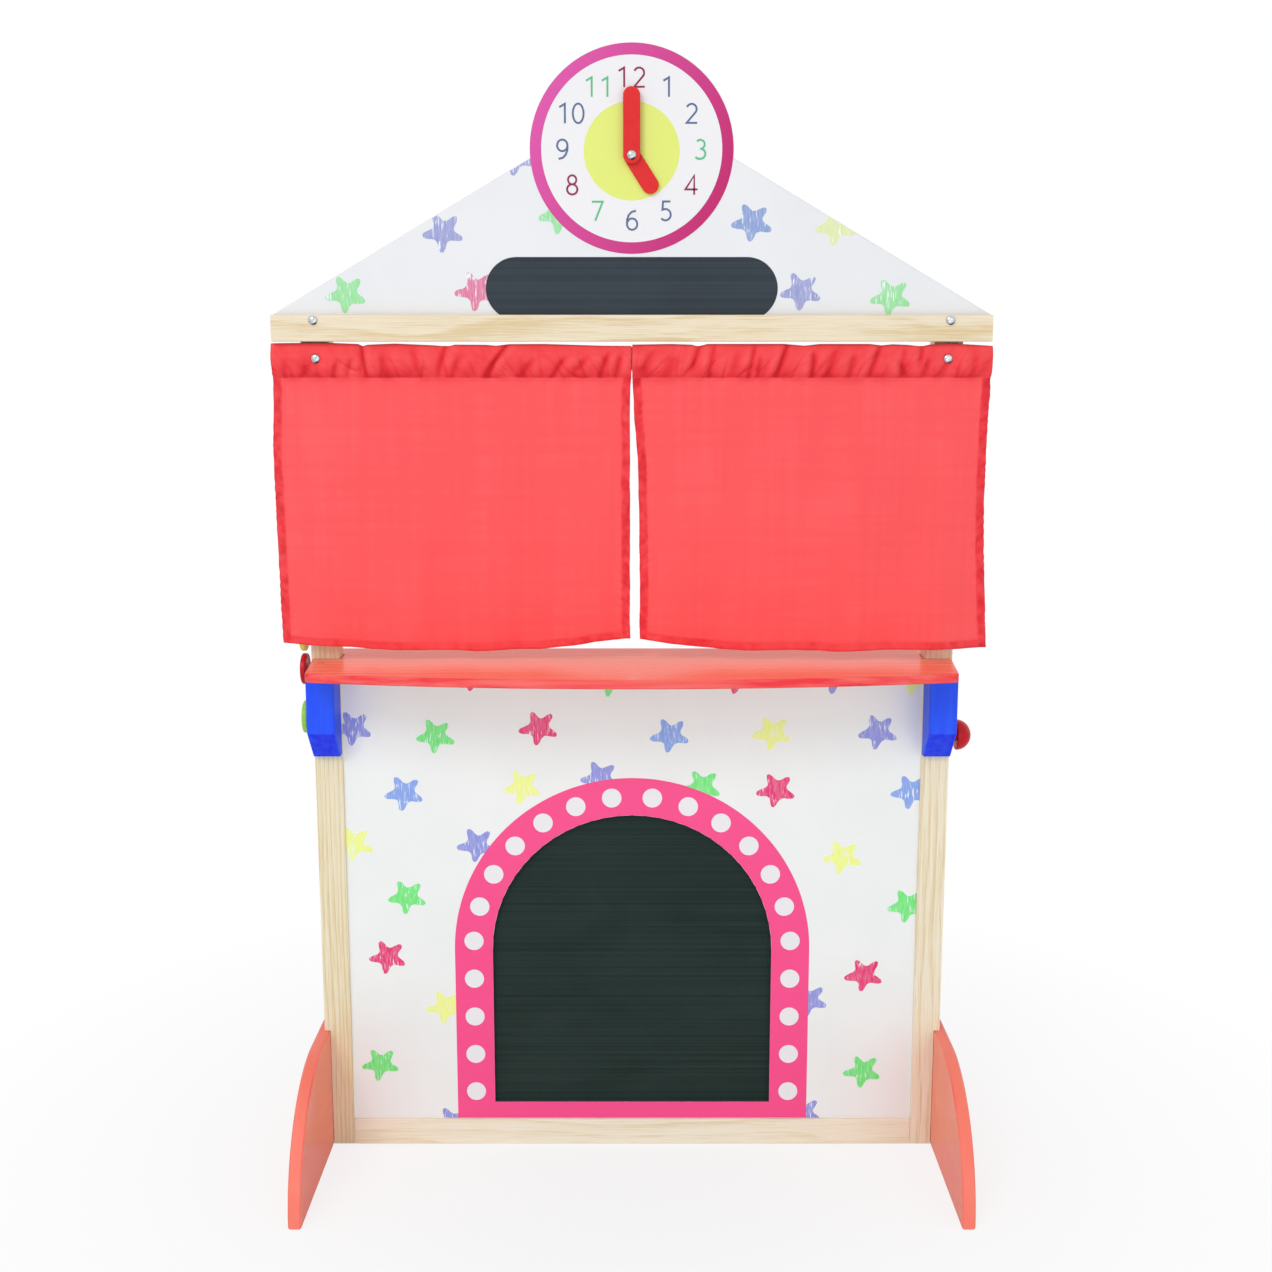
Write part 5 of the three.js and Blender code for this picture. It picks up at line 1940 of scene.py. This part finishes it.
    def cloth(self) -> bpy.types.Object:
        """The cloth: both its skins and the rim between them.

        Returns:
            The object.
        """
        rows = self.rows()
        middle = np.array([points for points, _ in rows])
        ply_shades = np.array([ply for _, ply in rows]).reshape(-1)
        normal = np.cross(np.gradient(middle, axis=1), np.gradient(middle, axis=0)) * self.side
        normal /= np.maximum(LEAST_MM, np.linalg.norm(normal, axis=2, keepdims=True))
        half = normal * self.thickness_mm / 2
        points = np.concatenate([(middle + half).reshape(-1, 3), (middle - half).reshape(-1, 3)])
        count = len(ply_shades)
        grid = np.arange(count).reshape(middle.shape[:2])
        faces: Faces = []
        corners = (grid[:-1, :-1], grid[:-1, 1:], grid[1:, 1:], grid[1:, :-1])
        for a, b, c, d in zip(*(corner.reshape(-1).tolist() for corner in corners)):
            front = (a, b, c, d) if self.side > 0 else (a, d, c, b)
            faces += [front, tuple(count + i for i in reversed(front))]
        edges = (grid[0], grid[1:, -1], grid[-1, -2::-1], grid[-2:0:-1, 0])
        rim = [i for edge in edges for i in edge.tolist()]
        for a, b in zip(rim, rim[1:] + rim[:1]):
            faces.append((a, a + count, b + count, b)[:: self.side])
        name = f"{self.name}_curtain_cloth"
        made = make_object(name, points.tolist(), faces, [COTTON], smooth=True)
        # The painted shade of doubled cloth and of creases, for the material
        ply = made.data.attributes.new("ply", "FLOAT", "POINT")
        ply.data.foreach_set("value", np.concatenate([ply_shades, ply_shades]).astype(np.float32))
        return made

    def stitch_places(self) -> list[tuple[Point, Point]]:
        """Where each stitch is and a place that it points to, each across and down.

        Returns:
            The places.
        """
        places: list[tuple[Point, Point]] = []
        length = self.outer_top_mm
        runs = int(length / self.stitch_step_mm)
        for i in range(runs):
            across = (i + 0.5) / runs
            for down in (0.014, 1 - self.hem_mm / self.drop_mm):
                places.append(((across, down), (min(1.0, across + 0.004), down)))
        drops = int(self.drop_mm * 0.93 / self.stitch_step_mm)
        for i in range(drops):
            down = 0.02 + 0.94 * (i + 0.5) / drops
            for across in (self.hem_mm / length, 1 - self.hem_mm / length):
                places.append(((across, down), (across, min(1.0, down + 0.006))))
        return places

    def stitches(self) -> bpy.types.Object:
        """Rows of small stitches along the seam, the side hems and the bottom hem.

        Returns:
            The object.
        """
        points: list[Triple] = []
        faces: Faces = []
        length, half_width, height = self.stitch_mm
        proud = self.thickness_mm / 2 + 0.02
        ring = ((-1.0, 0.0), (-0.5, 1.0), (0.5, 1.0), (1.0, 0.0), (0.5, -1.0), (-0.5, -1.0))
        count = len(ring)
        for here, there in self.stitch_places():
            start = len(points)
            middle = Vector(self.panel_point(*here))
            run = (Vector(self.panel_point(*there)) - middle).normalized() * length / 2
            rise = Vector((run.z, 0, -run.x)).normalized() * half_width
            for along, wide, out in ((1.0, 1.0, 0.0), (0.8, 0.5, height)):
                for a, b in ring:
                    p = middle + run * a * along + rise * b * wide
                    points.append((p.x, p.y - proud - out, p.z))
            base = range(start, start + count)
            top = range(start + count, start + 2 * count)
            faces += [tuple(base), tuple(reversed(top))]
            for i in range(count):
                j = (i + 1) % count
                faces.append((base[j], base[i], top[i], top[j]))
        return make_object(f"{self.name}_curtain_stitches", points, faces, [THREAD], smooth=True)

    def build(self) -> None:
        """Make the curtain and its stitches, and hide the plain pocket and panel."""
        cloth, stitches = self.cloth(), self.stitches()
        for piece in (cloth, stitches):
            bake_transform(piece)
            LOG.info("%s with %d faces", piece.name, len(piece.data.polygons))
        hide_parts(f"{self.name}_curtain_pocket", f"{self.name}_curtain_panel")


# Studio


@dataclass(frozen=True)
class Softbox:
    """A square softbox.

    Attributes:
        name: The lamp's name.
        place_m: Its place.
        aim_m: The point that it faces.
        side_m: Its side.
        power_w: Its power.
        tint: Its colour.
    """

    name: str
    place_m: Triple
    aim_m: Triple
    side_m: float
    power_w: float
    tint: str = WHITE

    def build(self) -> None:
        """Hang the lamp."""
        data = bpy.data.lights.new(self.name, "AREA")
        data.color = linear(self.tint)[:3]
        data.shape = "SQUARE"
        data.size = self.side_m
        data.energy = self.power_w
        lamp = bpy.data.objects.new(self.name, data)
        lamp.location = self.place_m
        way = Vector(self.aim_m) - Vector(self.place_m)
        lamp.rotation_euler = way.to_track_quat("-Z", "Y").to_euler()
        bpy.context.scene.collection.objects.link(lamp)


@dataclass
class Studio:
    """Floor, soft lamps and the camera.

    Attributes:
        floor_clear_m: How far from the stand the floor starts and stops to turn white.
        floor_white: How white it is there for the eye.
    """

    lens_mm: float = 45.28
    sensor_mm: float = 36.0
    clip_m: Point = (0.05, 60.0)
    tilt_deg: float = 9.877
    camera_mm: Triple = (4.4, -1715.5, 886.2)
    world_tint: str = "F7F8F9"
    world_strength: float = 0.7
    floor_half_mm: float = 9000.0
    floor_steps: int = 24
    floor_z_mm: float = -0.2
    floor_tint: str = "EEEEEE"
    floor_roughness: float = 0.9
    floor_clear_m: Point = (0.25, 0.9)
    floor_white: Point = (0.76, 1.0)
    lamps: tuple[Softbox, ...] = (
        Softbox("key_softbox", (-1.3, -2.5, 2.6), (0, 0, 0.6), 1.2, 31.0),
        Softbox("fill_softbox", (1.6, -3.0, 0.9), (0, 0, 0.5), 2.2, 10.5),
        Softbox("low_softbox", (0, -1.9, 0.1), (0, 0, 0.4), 1.2, 8.0, "C8F0FF"),
    )

    def build_camera(self) -> None:
        """Place the camera in front of the stand, looking slightly down."""
        data = bpy.data.cameras.new("camera")
        data.lens = self.lens_mm
        data.sensor_width = self.sensor_mm
        data.clip_start, data.clip_end = self.clip_m
        camera = bpy.data.objects.new("camera", data)
        camera.location = Vector(self.camera_mm) * MM
        camera.rotation_euler = (math.radians(90 - self.tilt_deg), 0, 0)
        bpy.context.scene.collection.objects.link(camera)
        bpy.context.scene.camera = camera

    def build_world(self) -> None:
        """White behind the stand for the eye, for mirrors and for clear pieces; softer as light."""
        world = bpy.data.worlds.new("studio")
        bpy.context.scene.world = world
        nodes = Nodes.of(world)
        rays = nodes.add("LightPath").outputs
        seen = {0: rays["Is Camera Ray"], 1: rays["Is Glossy Ray"]}
        shown = {0: nodes.add("Math", seen, operation="ADD"), 1: rays["Is Transmission Ray"]}
        clear = nodes.add("Math", shown, operation="ADD", use_clamp=True)
        tint, strength = linear(self.world_tint), self.world_strength
        soft = nodes.add("Background", {"Color": tint, "Strength": strength})
        white = nodes.add("Background", {"Color": linear(WHITE), "Strength": 1.0})
        light = nodes.add("MixShader", {0: clear, 1: soft, 2: white})
        nodes.add("OutputWorld", {"Surface": light})

    def build_floor(self) -> None:
        """A pale floor that keeps the stand's shadow near it and runs out into white."""
        side = self.floor_steps + 1
        line = np.linspace(-self.floor_half_mm, self.floor_half_mm, side).tolist()
        points = [(x, y, self.floor_z_mm) for y in line for x in line]
        starts = [r * side + c for r in range(self.floor_steps) for c in range(self.floor_steps)]
        faces = [(i, i + 1, i + side + 1, i + side) for i in starts]
        floor = make_object("floor", points, faces, [])
        material = bpy.data.materials.new("matt_paper")
        nodes = Nodes.of(material)
        where = nodes.add("TexCoord").outputs["Object"]
        reach = nodes.add("VectorMath", {0: where}, operation="LENGTH")
        names = ("From Min", "From Max", "To Min", "To Max")
        limits = dict(zip(names, self.floor_clear_m + self.floor_white))
        far = nodes.add("MapRange", {"Value": reach} | limits)
        eye = nodes.add("LightPath").outputs["Is Camera Ray"]
        share = nodes.add("Math", {0: far, 1: eye}, operation="MULTIPLY")
        tint, roughness = linear(self.floor_tint), self.floor_roughness
        paper = nodes.add("BsdfPrincipled", {"Base Color": tint, "Roughness": roughness})
        white = nodes.add("Emission", {"Color": linear(WHITE), "Strength": 1.0})
        mixed = nodes.add("MixShader", {0: share, 1: paper, 2: white})
        nodes.add("OutputMaterial", {"Surface": mixed})
        floor.data.materials.append(material)

    def build(self) -> None:
        """Set up the whole studio."""
        bpy.context.scene.view_settings.view_transform = "Standard"
        self.build_camera()
        self.build_world()
        self.build_floor()
        for lamp in self.lamps:
            lamp.build()
        LOG.info("studio ready")


def main(frame: Mapping[str, object]) -> None:
    """Build every piece in order.

    Args:
        frame: What the frame's loader returned.
    """
    Studio().build()
    WoodenFrame(frame["nodes"]).build()
    PrintedPanel().build()
    PrintedGable().build()
    bolts = [DomedBolt("clock_bolt", Way.FRONT)]
    for name, outward in (("left", Way.LEFT), ("right", Way.RIGHT)):
        bolts += [DomedBolt(f"{name}_{rail}_bolt", Way.FRONT) for rail in ("gable", "curtain")]
        for level in ("upper", "lower"):
            bolts.append(DomedBolt(f"{name}_bracket_bolt_{level}", Way.REAR))
            bolts.append(DomedBolt(f"{name}_foot_bolt_{level}", outward))
    for colour in ("yellow", "red", "green"):
        bolts.append(DomedBolt(f"{colour}_disc_axle", Way.LEFT, head_radius_mm=4.6))
    for bolt in bolts:
        bolt.build()
    for disc, lacquer, slot in (
        ("yellow_disc", YELLOW_LACQUER, "yellow_paint"),
        ("red_disc", RUBY_LACQUER, "dark_red_paint"),
        ("green_disc", GREEN_LACQUER, "green_paint"),
    ):
        Disc(disc, Way.RIGHT, lacquer, slot, body=disc).build()
    SideKnob("side_knob", Way.RIGHT, RUBY_LACQUER, "dark_red_paint").build()
    Curtain("left", -1, LEFT_FORM).build()
    Curtain("right", 1, RIGHT_FORM).build()


if __name__ == "__main__":
    logging.basicConfig(level=logging.INFO, format="%(name)s: %(message)s")
    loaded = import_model()
    main(loaded)
